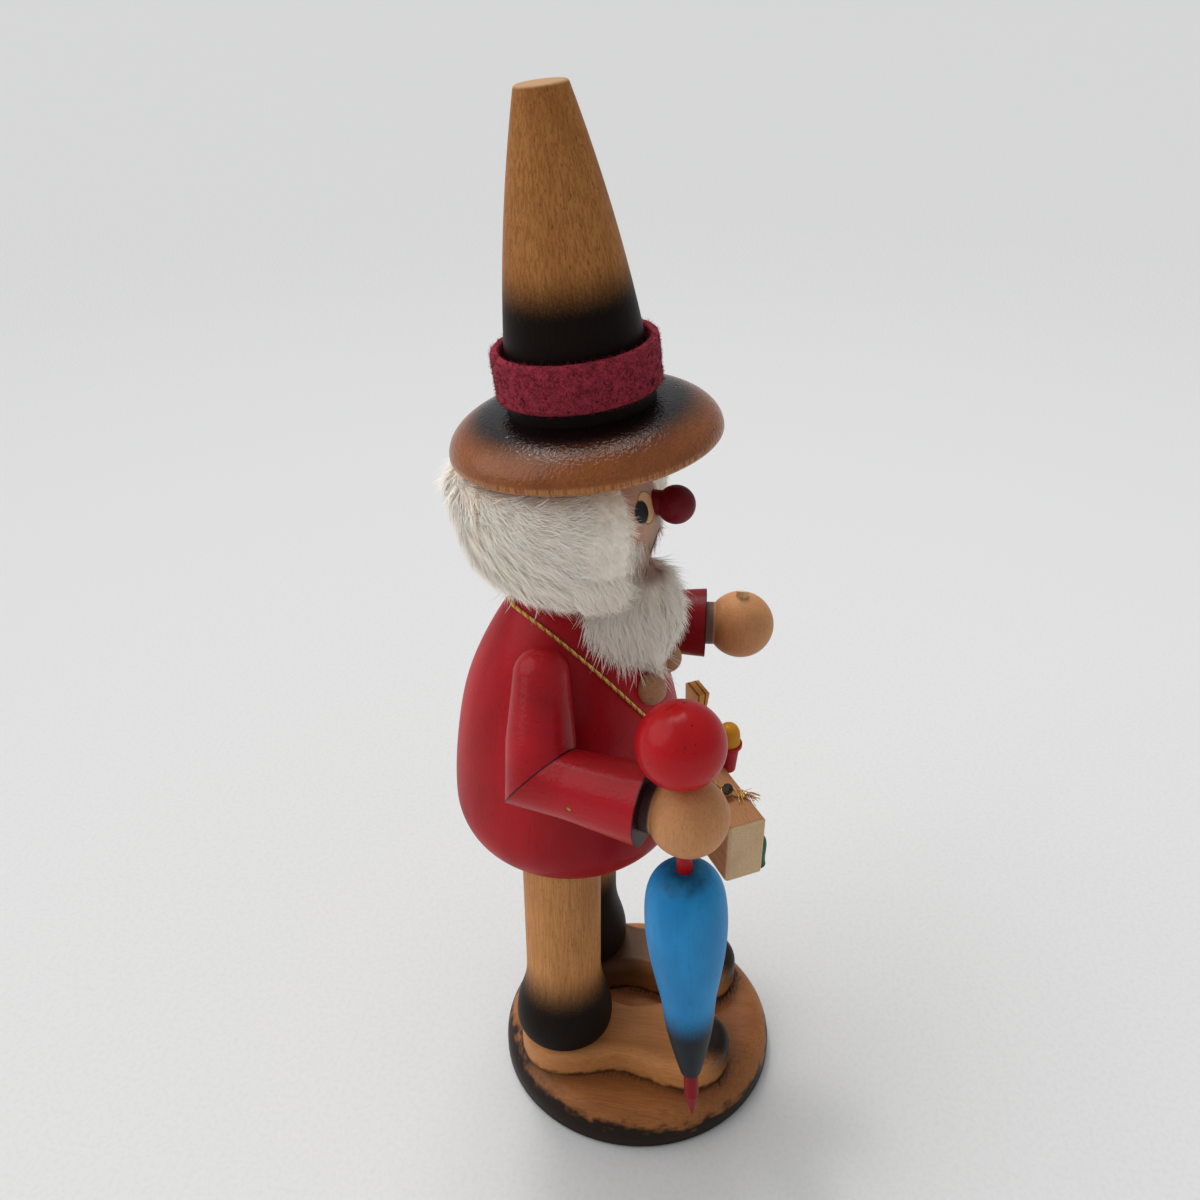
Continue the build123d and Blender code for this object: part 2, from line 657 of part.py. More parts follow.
# Arms: tapered sleeves cut to a mitre at the elbow, and ball hands on turned wrists
umbrella = Location(arm_frames["right"]["hand"].position, (0, 0, BODY_TURN))
umbrella = umbrella * Location((0, STICK_OFFSET, 0), (-UMBRELLA_LEAN, 0, 0))
stub_place = Location(arm_frames["left"]["hand"].position)
elbow_straight = ARM_RADIUS
for name, frame in arm_frames.items():
    with BuildPart() as upper_arm:
        with Locations(frame["shoulder"]):
            Sphere(SHOULDER_RADIUS)
            Cone(
                SHOULDER_RADIUS,
                ARM_RADIUS,
                frame["length"] - elbow_straight,
                align=(Align.CENTER, Align.CENTER, Align.MIN),
            )
        with BuildSketch(Plane(frame["shoulder"]).offset(frame["length"] - elbow_straight)):
            Circle(ARM_RADIUS)
        extrude(amount=elbow_straight * 3)
        split(bisect_by=frame["mitre"], keep=Keep.BOTTOM)
        add(body_form.part, mode=Mode.SUBTRACT)
        with Locations(frame["dowel"]):
            Cylinder(SHOULDER_DOWEL_RADIUS + GLUE_GAP, SHOULDER_DOWEL_LENGTH, mode=Mode.SUBTRACT)
    upper_arm.part.label = f"{name}_upper_arm"
    export_step(upper_arm.part, f"parts/{name}_upper_arm.step")

    brad_place = frame["forearm"] * Location((ARM_RADIUS - BRAD_LENGTH, 0, BRAD_REACH), (0, 90, 0))
    with BuildPart() as forearm:
        with BuildSketch(Plane(frame["forearm"]).offset(-elbow_straight * 2)):
            Circle(ARM_RADIUS)
        extrude(amount=elbow_straight * 3)
        with Locations(frame["forearm"] * Location((0, 0, elbow_straight))):
            Cone(
                ARM_RADIUS,
                CUFF_RADIUS,
                SLEEVE_LENGTH - elbow_straight,
                align=(Align.CENTER, Align.CENTER, Align.MIN),
            )
        split(bisect_by=frame["mitre"], keep=Keep.TOP)
        add(body_form.part, mode=Mode.SUBTRACT)
        with BuildSketch(Plane(frame["forearm"]).offset(SLEEVE_LENGTH)):
            Circle(WRIST_TENON_RADIUS + GLUE_GAP)
        extrude(amount=-WRIST_TENON_LENGTH, mode=Mode.SUBTRACT)
        with BuildSketch(Plane(brad_place)):
            Circle(BRAD_RADIUS + GLUE_GAP)
        extrude(amount=BRAD_LENGTH * 2, mode=Mode.SUBTRACT)
    forearm.part.label = f"{name}_forearm"
    export_step(forearm.part, f"parts/{name}_forearm.step")

    with BuildPart() as brad:
        with BuildSketch(Plane(brad_place)):
            Circle(BRAD_RADIUS)
        extrude(amount=BRAD_LENGTH)
    brad.part.label = f"{name}_elbow_brad"
    export_step(brad.part, f"parts/{name}_elbow_brad.step")

    with BuildPart() as hand:
        with Locations(frame["hand"]):
            Sphere(HAND_RADIUS)
        with BuildSketch(Plane(frame["forearm"]).offset(SLEEVE_LENGTH)):
            Circle(WRIST_RADIUS)
        extrude(amount=HAND_REACH - SLEEVE_LENGTH)
        with BuildSketch(Plane(frame["forearm"]).offset(SLEEVE_LENGTH)):
            Circle(WRIST_TENON_RADIUS)
        extrude(amount=-WRIST_TENON_LENGTH)
        if name == "right":
            with Locations(umbrella):
                Cylinder(STICK_RADIUS + STICK_CLEARANCE, HAND_RADIUS * 3, mode=Mode.SUBTRACT)
        else:
            with BuildSketch(Plane(stub_place).offset(HAND_RADIUS + STUB_PROUD)):
                Circle(STUB_RADIUS + GLUE_GAP)
            extrude(amount=-STUB_LENGTH, mode=Mode.SUBTRACT)
    hand.part.label = f"{name}_hand"
    export_step(hand.part, f"parts/{name}_hand.step")

    with BuildPart() as shoulder_dowel:
        with Locations(frame["dowel"]):
            Cylinder(SHOULDER_DOWEL_RADIUS, SHOULDER_DOWEL_LENGTH)
    shoulder_dowel.part.label = f"{name}_shoulder_dowel"
    export_step(shoulder_dowel.part, f"parts/{name}_shoulder_dowel.step")

# Peg stub: what is left of a broken peg in the left hand
with BuildPart() as peg_stub:
    with BuildSketch(Plane(stub_place).offset(HAND_RADIUS + STUB_PROUD - STUB_LENGTH)):
        Circle(STUB_RADIUS)
    extrude(amount=STUB_LENGTH)
    break_plane = Plane(stub_place * Location((0, 0, HAND_RADIUS + STUB_PROUD / 2), (0, STUB_BREAK, 0)))
    split(bisect_by=break_plane, keep=Keep.BOTTOM)
peg_stub.part.label = "peg_stub"
export_step(peg_stub.part, "parts/peg_stub.step")

# Buttons: balls glued to the chest
for name, button_place in button_places.items():
    with BuildPart() as button:
        with Locations(button_place):
            Sphere(BUTTON_RADIUS)
        add(body_form.part, mode=Mode.SUBTRACT)
    button.part.label = f"{name}_button"
    export_step(button.part, f"parts/{name}_button.step")

# Umbrella: a ball knob, a stick through the hand, a closed canopy and a pointed tip
canopy_top = -(HAND_RADIUS + STICK_SHOWN)
canopy_end = canopy_top - CANOPY_LENGTH
knob_centre = HAND_RADIUS + KNOB_REST + KNOB_RADIUS
stick_top = knob_centre - KNOB_RADIUS + STICK_IN_KNOB
with BuildPart() as umbrella_knob:
    with Locations(umbrella * Location((0, 0, knob_centre))):
        Sphere(KNOB_RADIUS)
    with BuildSketch(Plane(umbrella).offset(stick_top)):
        Circle(STICK_RADIUS + GLUE_GAP)
    extrude(amount=-STICK_IN_KNOB * 2, mode=Mode.SUBTRACT)
umbrella_knob.part.label = "umbrella_knob"
export_step(umbrella_knob.part, "parts/umbrella_knob.step")

with BuildPart() as umbrella_stick:
    with BuildSketch(Plane(umbrella).offset(canopy_top - STICK_IN_CANOPY)):
        Circle(STICK_RADIUS)
    extrude(amount=stick_top - canopy_top + STICK_IN_CANOPY)
umbrella_stick.part.label = "umbrella_stick"
export_step(umbrella_stick.part, "parts/umbrella_stick.step")

with BuildPart() as umbrella_canopy:
    with BuildSketch(upright(umbrella)):
        with BuildLine():
            Line((0, canopy_top), (CANOPY_NECK_RADIUS, canopy_top))
            Spline(
                (CANOPY_NECK_RADIUS, canopy_top),
                (CANOPY_RADIUS, canopy_top - CANOPY_SHOULDER),
                (CANOPY_TAPER_RADIUS, canopy_top - CANOPY_TAPER),
                (CANOPY_END_RADIUS, canopy_end),
                tangents=[(1, -0.25), (-0.22, -1)],
            )
            Polyline((CANOPY_END_RADIUS, canopy_end), (0, canopy_end), (0, canopy_top))
        make_face()
    revolve(axis=spin_axis(umbrella))
    with BuildSketch(Plane(umbrella).offset(canopy_top)):
        Circle(STICK_RADIUS + GLUE_GAP)
    extrude(amount=-STICK_IN_CANOPY, mode=Mode.SUBTRACT)
    with BuildSketch(Plane(umbrella).offset(canopy_end)):
        Circle(TIP_TENON_RADIUS + GLUE_GAP)
    extrude(amount=TIP_TENON_LENGTH, mode=Mode.SUBTRACT)
umbrella_canopy.part.label = "umbrella_canopy"
export_step(umbrella_canopy.part, "parts/umbrella_canopy.step")

with BuildPart() as umbrella_tip:
    with BuildSketch(upright(umbrella)):
        Polygon(
            (0, canopy_end + TIP_TENON_LENGTH),
            (TIP_TENON_RADIUS, canopy_end + TIP_TENON_LENGTH),
            (TIP_TENON_RADIUS, canopy_end),
            (TIP_RADIUS, canopy_end),
            (TIP_RADIUS, canopy_end - TIP_LENGTH + TIP_POINT),
            (TIP_END_RADIUS, canopy_end - TIP_LENGTH),
            (0, canopy_end - TIP_LENGTH),
            align=None,
        )
    revolve(axis=spin_axis(umbrella))
umbrella_tip.part.label = "umbrella_tip"
export_step(umbrella_tip.part, "parts/umbrella_tip.step")

# Tray: a wooden bar that hangs against the belly, with two nails for the cord
tray_back = -(BODY_RADIUS + TRAY_GAP)
tray_front = tray_back - TRAY_DEPTH
tray = at(0, 0, TRAY_TOP, rz=TRAY_TURN) * Location((TRAY_SHIFT, 0, 0))
nail_places = [
    tray * Location((x, (tray_back + tray_front) / 2, 0), (0, side * CORD_NAIL_LEAN, 0))
    for x, side in zip(CORD_NAIL_X, SIDES.values())
]
with BuildPart() as tray_block:
    with Locations(tray * Location((0, tray_back, 0))):
        Box(TRAY_LENGTH, TRAY_DEPTH, TRAY_HEIGHT, align=(Align.CENTER, Align.MAX, Align.MAX))
    chamfer(tray_block.edges(), TRAY_CHAMFER)
    with Locations(*nail_places):
        Cylinder(CORD_NAIL_RADIUS + GLUE_GAP, CORD_NAIL_DEPTH * 2, mode=Mode.SUBTRACT)
tray_block.part.label = "tray_block"
export_step(tray_block.part, "parts/tray_block.step")

for name, place in zip(SIDES, nail_places):
    with BuildPart() as cord_nail:
        with BuildSketch(Plane(place).offset(-CORD_NAIL_DEPTH)):
            Circle(CORD_NAIL_RADIUS)
        extrude(amount=CORD_NAIL_DEPTH + CORD_NAIL_PROUD)
        with BuildSketch(Plane(place).offset(CORD_NAIL_PROUD)):
            Circle(CORD_NAIL_HEAD_RADIUS)
        extrude(amount=CORD_NAIL_HEAD)
    cord_nail.part.label = f"{name}_cord_nail"
    export_step(cord_nail.part, f"parts/{name}_cord_nail.step")

# Wares on the front of the tray: a bell, a tub with a dome in it, and a striped box
bell_place = tray * Location((BELL_X, tray_front - BELL_STAND_OFF, BELL_TOP))
with BuildPart() as green_bell:
    with BuildSketch(upright(bell_place)):
        with BuildLine():
            Line((0, 0), (BELL_CROWN_RADIUS, 0))
            Spline((BELL_CROWN_RADIUS, 0), (BELL_RADIUS, -BELL_HEIGHT), tangents=[(1, -0.6), (0.35, -1)])
            Polyline((BELL_RADIUS, -BELL_HEIGHT), (0, -BELL_HEIGHT), (0, 0))
        make_face()
    revolve(axis=spin_axis(bell_place))
    split(bisect_by=Plane(tray * Location((0, tray_front, 0), (90, 0, 0))), keep=Keep.TOP)
green_bell.part.label = "green_bell"
export_step(green_bell.part, "parts/green_bell.step")

tub_place = tray * Location((TUB_X, tray_front - TUB_STAND_OFF, TUB_TOP))
with BuildPart() as red_tub:
    with BuildSketch(upright(tub_place)):
        Polygon(
            (0, 0),
            (TUB_RIM_RADIUS, 0),
            (TUB_RIM_RADIUS, -TUB_RIM),
            (TUB_RADIUS, -TUB_RIM),
            (TUB_FOOT_RADIUS, -TUB_HEIGHT),
            (0, -TUB_HEIGHT),
            align=None,
        )
    revolve(axis=spin_axis(tub_place))
    add(tray_block.part, mode=Mode.SUBTRACT)
red_tub.part.label = "red_tub"
export_step(red_tub.part, "parts/red_tub.step")

with BuildPart() as yellow_dome:
    with BuildSketch(upright(tub_place)):
        with BuildLine():
            Spline((DOME_RADIUS, 0), (0, DOME_HEIGHT), tangents=[(0, 1), (-1, 0)])
            Polyline((0, DOME_HEIGHT), (0, 0), (DOME_RADIUS, 0))
        make_face()
    revolve(axis=spin_axis(tub_place))
yellow_dome.part.label = "yellow_dome"
export_step(yellow_dome.part, "parts/yellow_dome.step")

box_place = tray * Location((BOX_X, tray_front, BOX_TOP))
with BuildPart() as striped_box:
    with BuildSketch(Plane(box_place)):
        Rectangle(BOX_WIDTH, BOX_DEPTH, align=(Align.CENTER, Align.MAX))
    with BuildSketch(Plane(box_place).offset(-BOX_HEIGHT)):
        Rectangle(BOX_FOOT_WIDTH, BOX_DEPTH * BOX_FOOT_WIDTH / BOX_WIDTH, align=(Align.CENTER, Align.MAX))
    loft()
striped_box.part.label = "striped_box"
export_step(striped_box.part, "parts/striped_box.step")


def mirrored(point):
    """The same point on the right side of the body."""
    return (-point[0], point[1], point[2])


# Neck cord: taut from each nail to the chest, and round the neck under the hair
upper_route = [CORD_CHEST, CORD_SHOULDER, CORD_COLLAR, CORD_NAPE]
route = [*[mirrored(p) for p in upper_route], *reversed(upper_route)]
route = [(body * Location(p)).position for p in route]
nail_gap = CORD_NAIL_RADIUS + CORD_DIAMETER / 2 + CORD_NAIL_GAP
cord_ends = []
for place, chest in zip(nail_places, (route[0], route[-1])):
    away = chest - place.position
    away = Vector(away.X, away.Y, 0).normalized()
    cord_ends.append(place.position + away * nail_gap + Vector(0, 0, CORD_LIFT))
route = [cord_ends[0], *route, cord_ends[1]]
runs = [after - before for before, after in zip(route, route[1:])]
turns = [a.get_angle(b) for a, b in zip(runs, runs[1:])]
radii = [
    CORD_BEND_SHARE * min(a.length, b.length) / tan(radians(turn) / 2)
    for a, b, turn in zip(runs, runs[1:], turns)
]
with BuildPart() as neck_cord:
    with BuildLine() as cord_path:
        FilletPolyline(*route, radius=radii)
    with BuildSketch(Plane(route[0], z_dir=runs[0])):
        Circle(CORD_DIAMETER / 2)
    sweep(path=cord_path.wires()[0])
neck_cord.part.label = "neck_cord"
export_step(neck_cord.part, "parts/neck_cord.step")

cord_length = cord_path.wires()[0].length
print("cord radii", [round(r, 1) for r in radii], "turns", [round(t) for t in turns])
print("cord length", round(cord_length, 2))
print("cord volume", round(neck_cord.part.volume, 2), "of", round(pi * CORD_DIAMETER**2 / 4 * cord_length, 2))
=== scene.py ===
import math
import random

import bmesh
import bpy
from mathutils import Matrix, Vector, noise


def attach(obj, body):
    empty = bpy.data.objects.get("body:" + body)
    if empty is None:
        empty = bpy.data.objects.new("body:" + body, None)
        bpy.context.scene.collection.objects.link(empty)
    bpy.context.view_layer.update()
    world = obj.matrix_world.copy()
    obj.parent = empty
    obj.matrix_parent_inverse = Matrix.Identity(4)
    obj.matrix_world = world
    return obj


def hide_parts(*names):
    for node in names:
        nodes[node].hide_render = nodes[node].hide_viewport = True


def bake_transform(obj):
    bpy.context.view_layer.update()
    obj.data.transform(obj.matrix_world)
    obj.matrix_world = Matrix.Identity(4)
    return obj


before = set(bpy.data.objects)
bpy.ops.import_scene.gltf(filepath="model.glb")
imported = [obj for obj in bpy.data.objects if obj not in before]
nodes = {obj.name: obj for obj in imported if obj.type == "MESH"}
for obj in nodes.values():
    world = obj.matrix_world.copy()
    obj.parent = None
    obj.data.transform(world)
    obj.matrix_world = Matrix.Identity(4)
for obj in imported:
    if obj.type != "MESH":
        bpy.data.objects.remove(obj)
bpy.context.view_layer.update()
mm = 0.001
upward = Vector((0, 0, 1))
print("frame loaded:", len(nodes), "CAD nodes")

# Where the figure's turned pieces stand, in mm and degrees
figure = {
    "spot": (1.75, 20.0, 0.0),
    "turn": -5.0,
    "head": (0.0, -3.0, 178.1),
    "mouth": (0.0, -21.5, 171.0),
    "hat": (0.0, -5.2, 196.3),
    "hatTilt": 6.8,
    "shoulder": (24.8, 0.0, 147.9),
    "elbow": (36.0, -2.5, 127.1),
    "splay": 9.4,
    "umbrella": (-43.378, -13.801, 127.1),
    "umbrellaLean": 3.4,
    "tray": (0.0, 0.0, 95.6),
    "trayTurn": 36.0,
    "trayShift": -7.1,
    "legs": {"right": (-14.0, 20.0, 0.0), "left": (17.5, 20.0, 0.0)},
}


def seatOf(parent, spot=(0, 0, 0), axis="Z", turn=0.0):
    return parent @ Matrix.Translation(Vector(spot) * mm) @ Matrix.Rotation(math.radians(turn), 4, axis)


floorSeat = Matrix.Identity(4)
bodySeat = seatOf(floorSeat, figure["spot"], "Z", figure["turn"])
headSeat = seatOf(bodySeat, figure["head"])
hatSeat = seatOf(bodySeat, figure["hat"], "X", -figure["hatTilt"])
mouthSeat = seatOf(bodySeat, figure["mouth"])
traySeat = seatOf(seatOf(bodySeat, figure["tray"], "Z", figure["trayTurn"]), (figure["trayShift"], 0, 0))
umbrellaSeat = seatOf(floorSeat, figure["umbrella"], "Z", figure["turn"])
umbrellaSeat = seatOf(umbrellaSeat, axis="X", turn=-figure["umbrellaLean"])
legSeats = {name: seatOf(floorSeat, spot) for name, spot in figure["legs"].items()}
armSeats, mitres = {}, {}
for name, side in (("right", -1), ("left", 1)):
    x, y, z = figure["elbow"]
    elbow = seatOf(bodySeat, (side * x, y, z), "Z", side * figure["splay"])
    armSeats[name] = seatOf(elbow, axis="X", turn=90)  # local Z runs from the elbow to the hand
    x, y, z = figure["shoulder"]
    upper = (elbow.to_translation() - bodySeat @ (Vector((side * x, y, z)) * mm)).normalized()
    fore = armSeats[name].to_3x3() @ upward
    mitres[name] = (elbow.to_translation(), (upper + fore).normalized())  # the plane where the sleeves meet


def linear(hexColor):
    parts = [int(hexColor[i:i + 2], 16) / 255 for i in (1, 3, 5)]
    return tuple(c / 12.92 if c <= 0.04045 else ((c + 0.055) / 1.055) ** 2.4 for c in parts) + (1.0,)


def addNode(tree, kind, inputs=(), **settings):
    node = tree.nodes.new("ShaderNode" + kind)
    for name, value in settings.items():
        setattr(node, name, value)
    for name, value in inputs.items() if isinstance(inputs, dict) else enumerate(inputs):
        if isinstance(value, bpy.types.Node):
            value = next(output for output in value.outputs if output.enabled)
        if isinstance(value, bpy.types.NodeSocket):
            tree.links.new(value, node.inputs[name])
        else:
            node.inputs[name].default_value = linear(value) if isinstance(value, str) else value
    return node


def startFinish(name):
    material = bpy.data.materials.new(name)
    material.use_nodes = True
    material.node_tree.nodes.clear()
    return material, material.node_tree, addNode(material.node_tree, "TexCoord").outputs["Object"]


def endFinish(material, color, roughness, bumps, specular=0.5, **shader):
    tree = material.node_tree
    inputs = {"Base Color": color, "Roughness": roughness, "Specular IOR Level": specular}
    inputs.update({name.replace("_", " "): value for name, value in shader.items()})
    for height, depth in bumps:  # depth in mm
        under = {"Normal": inputs["Normal"]} if "Normal" in inputs else {}
        inputs["Normal"] = addNode(tree, "Bump", {"Height": height, "Distance": depth * mm, **under})
    if "Coat Weight" in inputs:
        inputs["Coat Normal"] = inputs["Normal"]
    addNode(tree, "OutputMaterial", {"Surface": addNode(tree, "BsdfPrincipled", inputs)})
    return material


def inSeat(coords, seat, size=1.0):
    # what a Mapping node needs to give a piece's own frame, in units of one size or three, in mm
    spot, turn = seat.to_translation(), seat.to_euler()
    sizes = Vector(size if isinstance(size, tuple) else (size, size, size))
    return {"Vector": coords, "Location": spot, "Rotation": turn, "Scale": sizes * mm}


def ownAxes(tree, coords, seat):
    # X, Y and Z in a piece's own frame, in mm
    own = addNode(tree, "Mapping", inSeat(coords, seat), vector_type="TEXTURE")
    return addNode(tree, "SeparateXYZ", [own]).outputs


def distance(tree, coords, seat, size=1.0):
    # how far a point lies from a seat, in units of a size in mm
    away = addNode(tree, "Mapping", inSeat(coords, seat, size), vector_type="TEXTURE")
    return addNode(tree, "VectorMath", [away], operation="LENGTH")


def mottle(tree, coords, seat, size, detail=2.0):
    # cloudy pattern whose patches have the given size in mm
    place = addNode(tree, "Mapping", inSeat(coords, seat, size), vector_type="TEXTURE")
    return addNode(tree, "TexNoise", {"Vector": place, "Scale": 1.0, "Detail": detail})


def paintOver(tree, under, over, value, bare, full, share=1.0):
    # a second colour covers the first as a value runs from bare to full
    cover = addNode(tree, "MapRange", [value, bare, full, 0.0, share], interpolation_type="SMOOTHSTEP")
    return addNode(tree, "Mix", {0: cover, 6: under, 7: over}, data_type="RGBA")


def sprayOver(tree, coords, seat, under, over, value, bare, full):
    # airbrushed edge, broken up into fine dots (dots drawn coarser than real ones, to show)
    dots = mottle(tree, coords, seat, 0.45, 1.0)
    spread = addNode(tree, "Math", [dots, 3.0, -1.5], operation="MULTIPLY_ADD")
    return paintOver(tree, under, over, addNode(tree, "Math", [value, spread]), bare, full, 0.98)


def beechGrain(tree, coords, seat, tones):
    # fine streaks and short pores along the piece's Z, over a slow drift of tone
    streak = mottle(tree, coords, seat, (0.5, 0.5, 9.0), 3.0)
    color = paintOver(tree, tones["pale"], tones["dark"], streak, 0.34, 0.72, tones["streaks"])
    drift = mottle(tree, coords, seat, (8.0, 8.0, 40.0))
    color = paintOver(tree, color, tones["dark"], drift, 0.42, 0.74, 0.6)
    pores = mottle(tree, coords, seat, (0.22, 0.22, 1.8), 1.0)
    return paintOver(tree, color, tones["pore"], pores, 0.60, 0.76, tones["pores"]), pores


def setFinish(material, *names):
    for name in names:
        nodes[name].data.materials.clear()
        nodes[name].data.materials.append(material)


def newPiece(name, bm, material, body, replaced=(), smooth=True):
    mesh = bpy.data.meshes.new(name)
    for face in bm.faces:
        face.smooth = smooth
    bm.to_mesh(mesh)
    bm.free()
    mesh.materials.append(material)
    piece = bpy.data.objects.new(name, mesh)
    bpy.context.scene.collection.objects.link(piece)
    if body:
        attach(piece, body)
    if replaced:
        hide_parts(*replaced)
    return piece


# Pale floor, wide light from above and the left, a lamp that glints on lacquer, the photograph's view
studio = {
    "floorSize": 14.0,
    "floorColor": "#DEDEDD",
    "farShadeColor": "#CECECD",
    "farShadeFrom": (0.15, 1.1),  # metres from the figure
    "fibreColor": "#DADAD9",
    "skyColor": "#EEF0F2",
    "skyStrength": 0.43,
    "suns": {  # where each comes from, watts per square metre, how wide it looks in degrees
        "above": ((0.44, 0.24, 1.0), 1.15, 36.0),
        "lamp": ((0.52, 0.30, 1.0), 0.5, 9.0),
        "left": ((-0.15, 1.0, 0.8), 1.1, 62.0),
    },
    "cameraSpot": (-0.25066, -0.02635, 0.30731),
    "cameraAhead": (0.98866, 0.1501),
    "cameraDrop": 30.874,
    "lens": 36.0,
    "sensor": 36.0,
    "nearest": 0.01,
}


def buildStudio():
    scene = bpy.context.scene
    bm = bmesh.new()
    bmesh.ops.create_grid(bm, x_segments=1, y_segments=1, size=studio["floorSize"] / 2)
    mesh = bpy.data.meshes.new("floor")
    bm.to_mesh(mesh)
    bm.free()
    material, tree, coords = startFinish("matPaperFloor")
    fibres = mottle(tree, coords, floorSeat, 1.5, 4.0)
    # painted shade: the floor turns darker away from the figure, as the light falls off
    away = addNode(tree, "VectorMath", [coords], operation="LENGTH")
    color = paintOver(tree, studio["floorColor"], studio["farShadeColor"], away, *studio["farShadeFrom"])
    color = paintOver(tree, color, studio["fibreColor"], fibres, 0.4, 0.7)
    endFinish(material, color, 0.9, [], specular=0.1)
    mesh.materials.append(material)
    floor = bpy.data.objects.new("floor", mesh)
    scene.collection.objects.link(floor)
    scene.world = bpy.data.worlds.new("sky")
    scene.world.use_nodes = True
    sky = scene.world.node_tree.nodes["Background"]
    sky.inputs["Color"].default_value = linear(studio["skyColor"])
    sky.inputs["Strength"].default_value = studio["skyStrength"]
    for name, (spot, strength, width) in studio["suns"].items():
        light = bpy.data.lights.new(name, "SUN")
        light.energy = strength
        light.angle = math.radians(width)
        sun = bpy.data.objects.new(name, light)
        sun.rotation_euler = Vector(spot).to_track_quat("Z", "Y").to_euler()
        scene.collection.objects.link(sun)
    lens = bpy.data.cameras.new("camera")
    lens.lens = studio["lens"]
    lens.sensor_width = studio["sensor"]
    lens.clip_start = studio["nearest"]
    camera = bpy.data.objects.new("camera", lens)
    camera.location = studio["cameraSpot"]
    drop = math.radians(studio["cameraDrop"])
    level = Vector((*studio["cameraAhead"], 0)).normalized()
    ahead = level * math.cos(drop) - Vector((0, 0, math.sin(drop)))
    camera.rotation_euler = ahead.to_track_quat("-Z", "Y").to_euler()
    scene.collection.objects.link(camera)
    scene.camera = camera
    scene.view_settings.view_transform = "Standard"


buildStudio()
print("studio and camera set")

# Neck cord: three yarns of gold foil, one of them duller, from the near nail round the neck to the far one
neckCord = {
    "route": [
        (2.955, -20.677, 97.4),
        (-15.804, -1.652, 133.6),
        (-17.625, 11.958, 148.4),
        (-13.225, 25.526, 156.5),
        (-4.566, 35.008, 156.8),
        (10.576, 33.683, 156.8),
        (17.457, 22.842, 156.5),
        (19.434, 8.716, 148.4),
        (15.277, -4.372, 133.6),
        (27.008, -6.697, 97.4),
    ],
    "length": 192.9,
    "diameter": 1.0,
    "yarns": 3,
    "twist": 2.6,
    "resolution": 110,  # points on each span, close enough for the twist
    "follow": (150.0, 100.0),  # heights between which it goes over from the figure to the tray
    "foil": "#FFD878",
    "foilDull": "#D29434",
    "dullYarn": "#A86C24",
}


def foilThread():
    # metallic foil wound on thread: bright facets and dull ones, a browner yarn between
    material, tree, coords = startFinish("goldFoilThread")
    yarn = addNode(tree, "SeparateXYZ", [addNode(tree, "UVMap", uv_map="threads")])
    facets = mottle(tree, coords, floorSeat, 0.4)
    color = paintOver(tree, neckCord["foil"], neckCord["foilDull"], facets, 0.42, 0.66, 0.8)
    color = paintOver(tree, color, neckCord["dullYarn"], yarn.outputs["X"], 0.6, 0.7, 0.8)
    return endFinish(material, color, 0.32, [(facets, 0.06)], Metallic=0.35)


def routeLine(route):
    data = bpy.data.curves.new("cordRoute", "CURVE")
    data.dimensions = "3D"
    data.resolution_u = neckCord["resolution"]
    spline = data.splines.new("NURBS")
    spline.points.add(len(route) - 1)
    for point, spot in zip(spline.points, route):
        point.co = (*(Vector(spot) * mm), 1.0)
    spline.order_u = 3
    spline.use_endpoint_u = True
    holder = bpy.data.objects.new("cordRoute", data)
    bpy.context.scene.collection.objects.link(holder)
    bpy.context.view_layer.update()
    shaped = holder.evaluated_get(bpy.context.evaluated_depsgraph_get())
    mesh = bpy.data.meshes.new_from_object(shaped)
    bpy.data.objects.remove(holder)
    return [v.co.copy() for v in mesh.vertices]


def twistRound(line, yarns, offset, twist):
    # helices round a line, in a frame that is carried along it
    tracks = [[] for yarn in range(yarns)]
    ahead = (line[1] - line[0]).normalized()
    side, gone = ahead.orthogonal().normalized(), 0.0
    for index, spot in enumerate(line):
        heading = (line[min(index + 1, len(line) - 1)] - line[max(index - 1, 0)]).normalized()
        side = ahead.rotation_difference(heading) @ side
        side = (side - heading * side.dot(heading)).normalized()
        up, ahead = heading.cross(side), heading
        gone += (spot - line[max(index - 1, 0)]).length
        for yarn, track in enumerate(tracks):
            turn = math.tau * (gone / twist + yarn / yarns)
            track.append(spot + (side * math.cos(turn) + up * math.sin(turn)) * offset)
    return tracks


def drawOut(bm, face):
    # a new end face on the old one, with its corners
    grown = bmesh.ops.extrude_face_region(bm, geom=[face])["geom"]
    ring = [item for item in grown if isinstance(item, bmesh.types.BMVert)]
    return next(item for item in grown if isinstance(item, bmesh.types.BMFace)), ring


def yarnTubes(tracks, radius, sides=6):
    # one closed tube along each track: its end face is drawn out step by step
    bm = bmesh.new()
    uv = bm.loops.layers.uv.new("threads")
    for index, track in enumerate(tracks):
        before = set(bm.faces)
        ring = bmesh.ops.create_circle(bm, segments=sides, radius=radius, cap_ends=True)["verts"]
        face = ring[0].link_faces[0]
        ahead = (track[1] - track[0]).normalized()
        turn = upward.rotation_difference(ahead).to_matrix().to_4x4()
        bmesh.ops.transform(bm, matrix=Matrix.Translation(track[0]) @ turn, verts=ring)
        for a, b in zip(track, track[1:]):
            face, ring = drawOut(bm, face)
            heading = (b - a).normalized()
            turn = ahead.rotation_difference(heading).to_matrix().to_4x4()
            step = Matrix.Translation(b) @ turn @ Matrix.Translation(-a)
            bmesh.ops.transform(bm, matrix=step, verts=ring)
            ahead = heading
        for face in set(bm.faces) - before:
            for loop in face.loops:
                loop[uv].uv = (index / max(1, len(tracks) - 1), 0.5)
    bmesh.ops.recalc_face_normals(bm, faces=bm.faces)
    return bm


def cordAlong(line):
    radius = neckCord["diameter"] * mm / 4
    return yarnTubes(twistRound(line, neckCord["yarns"], radius, neckCord["twist"] * mm), radius)


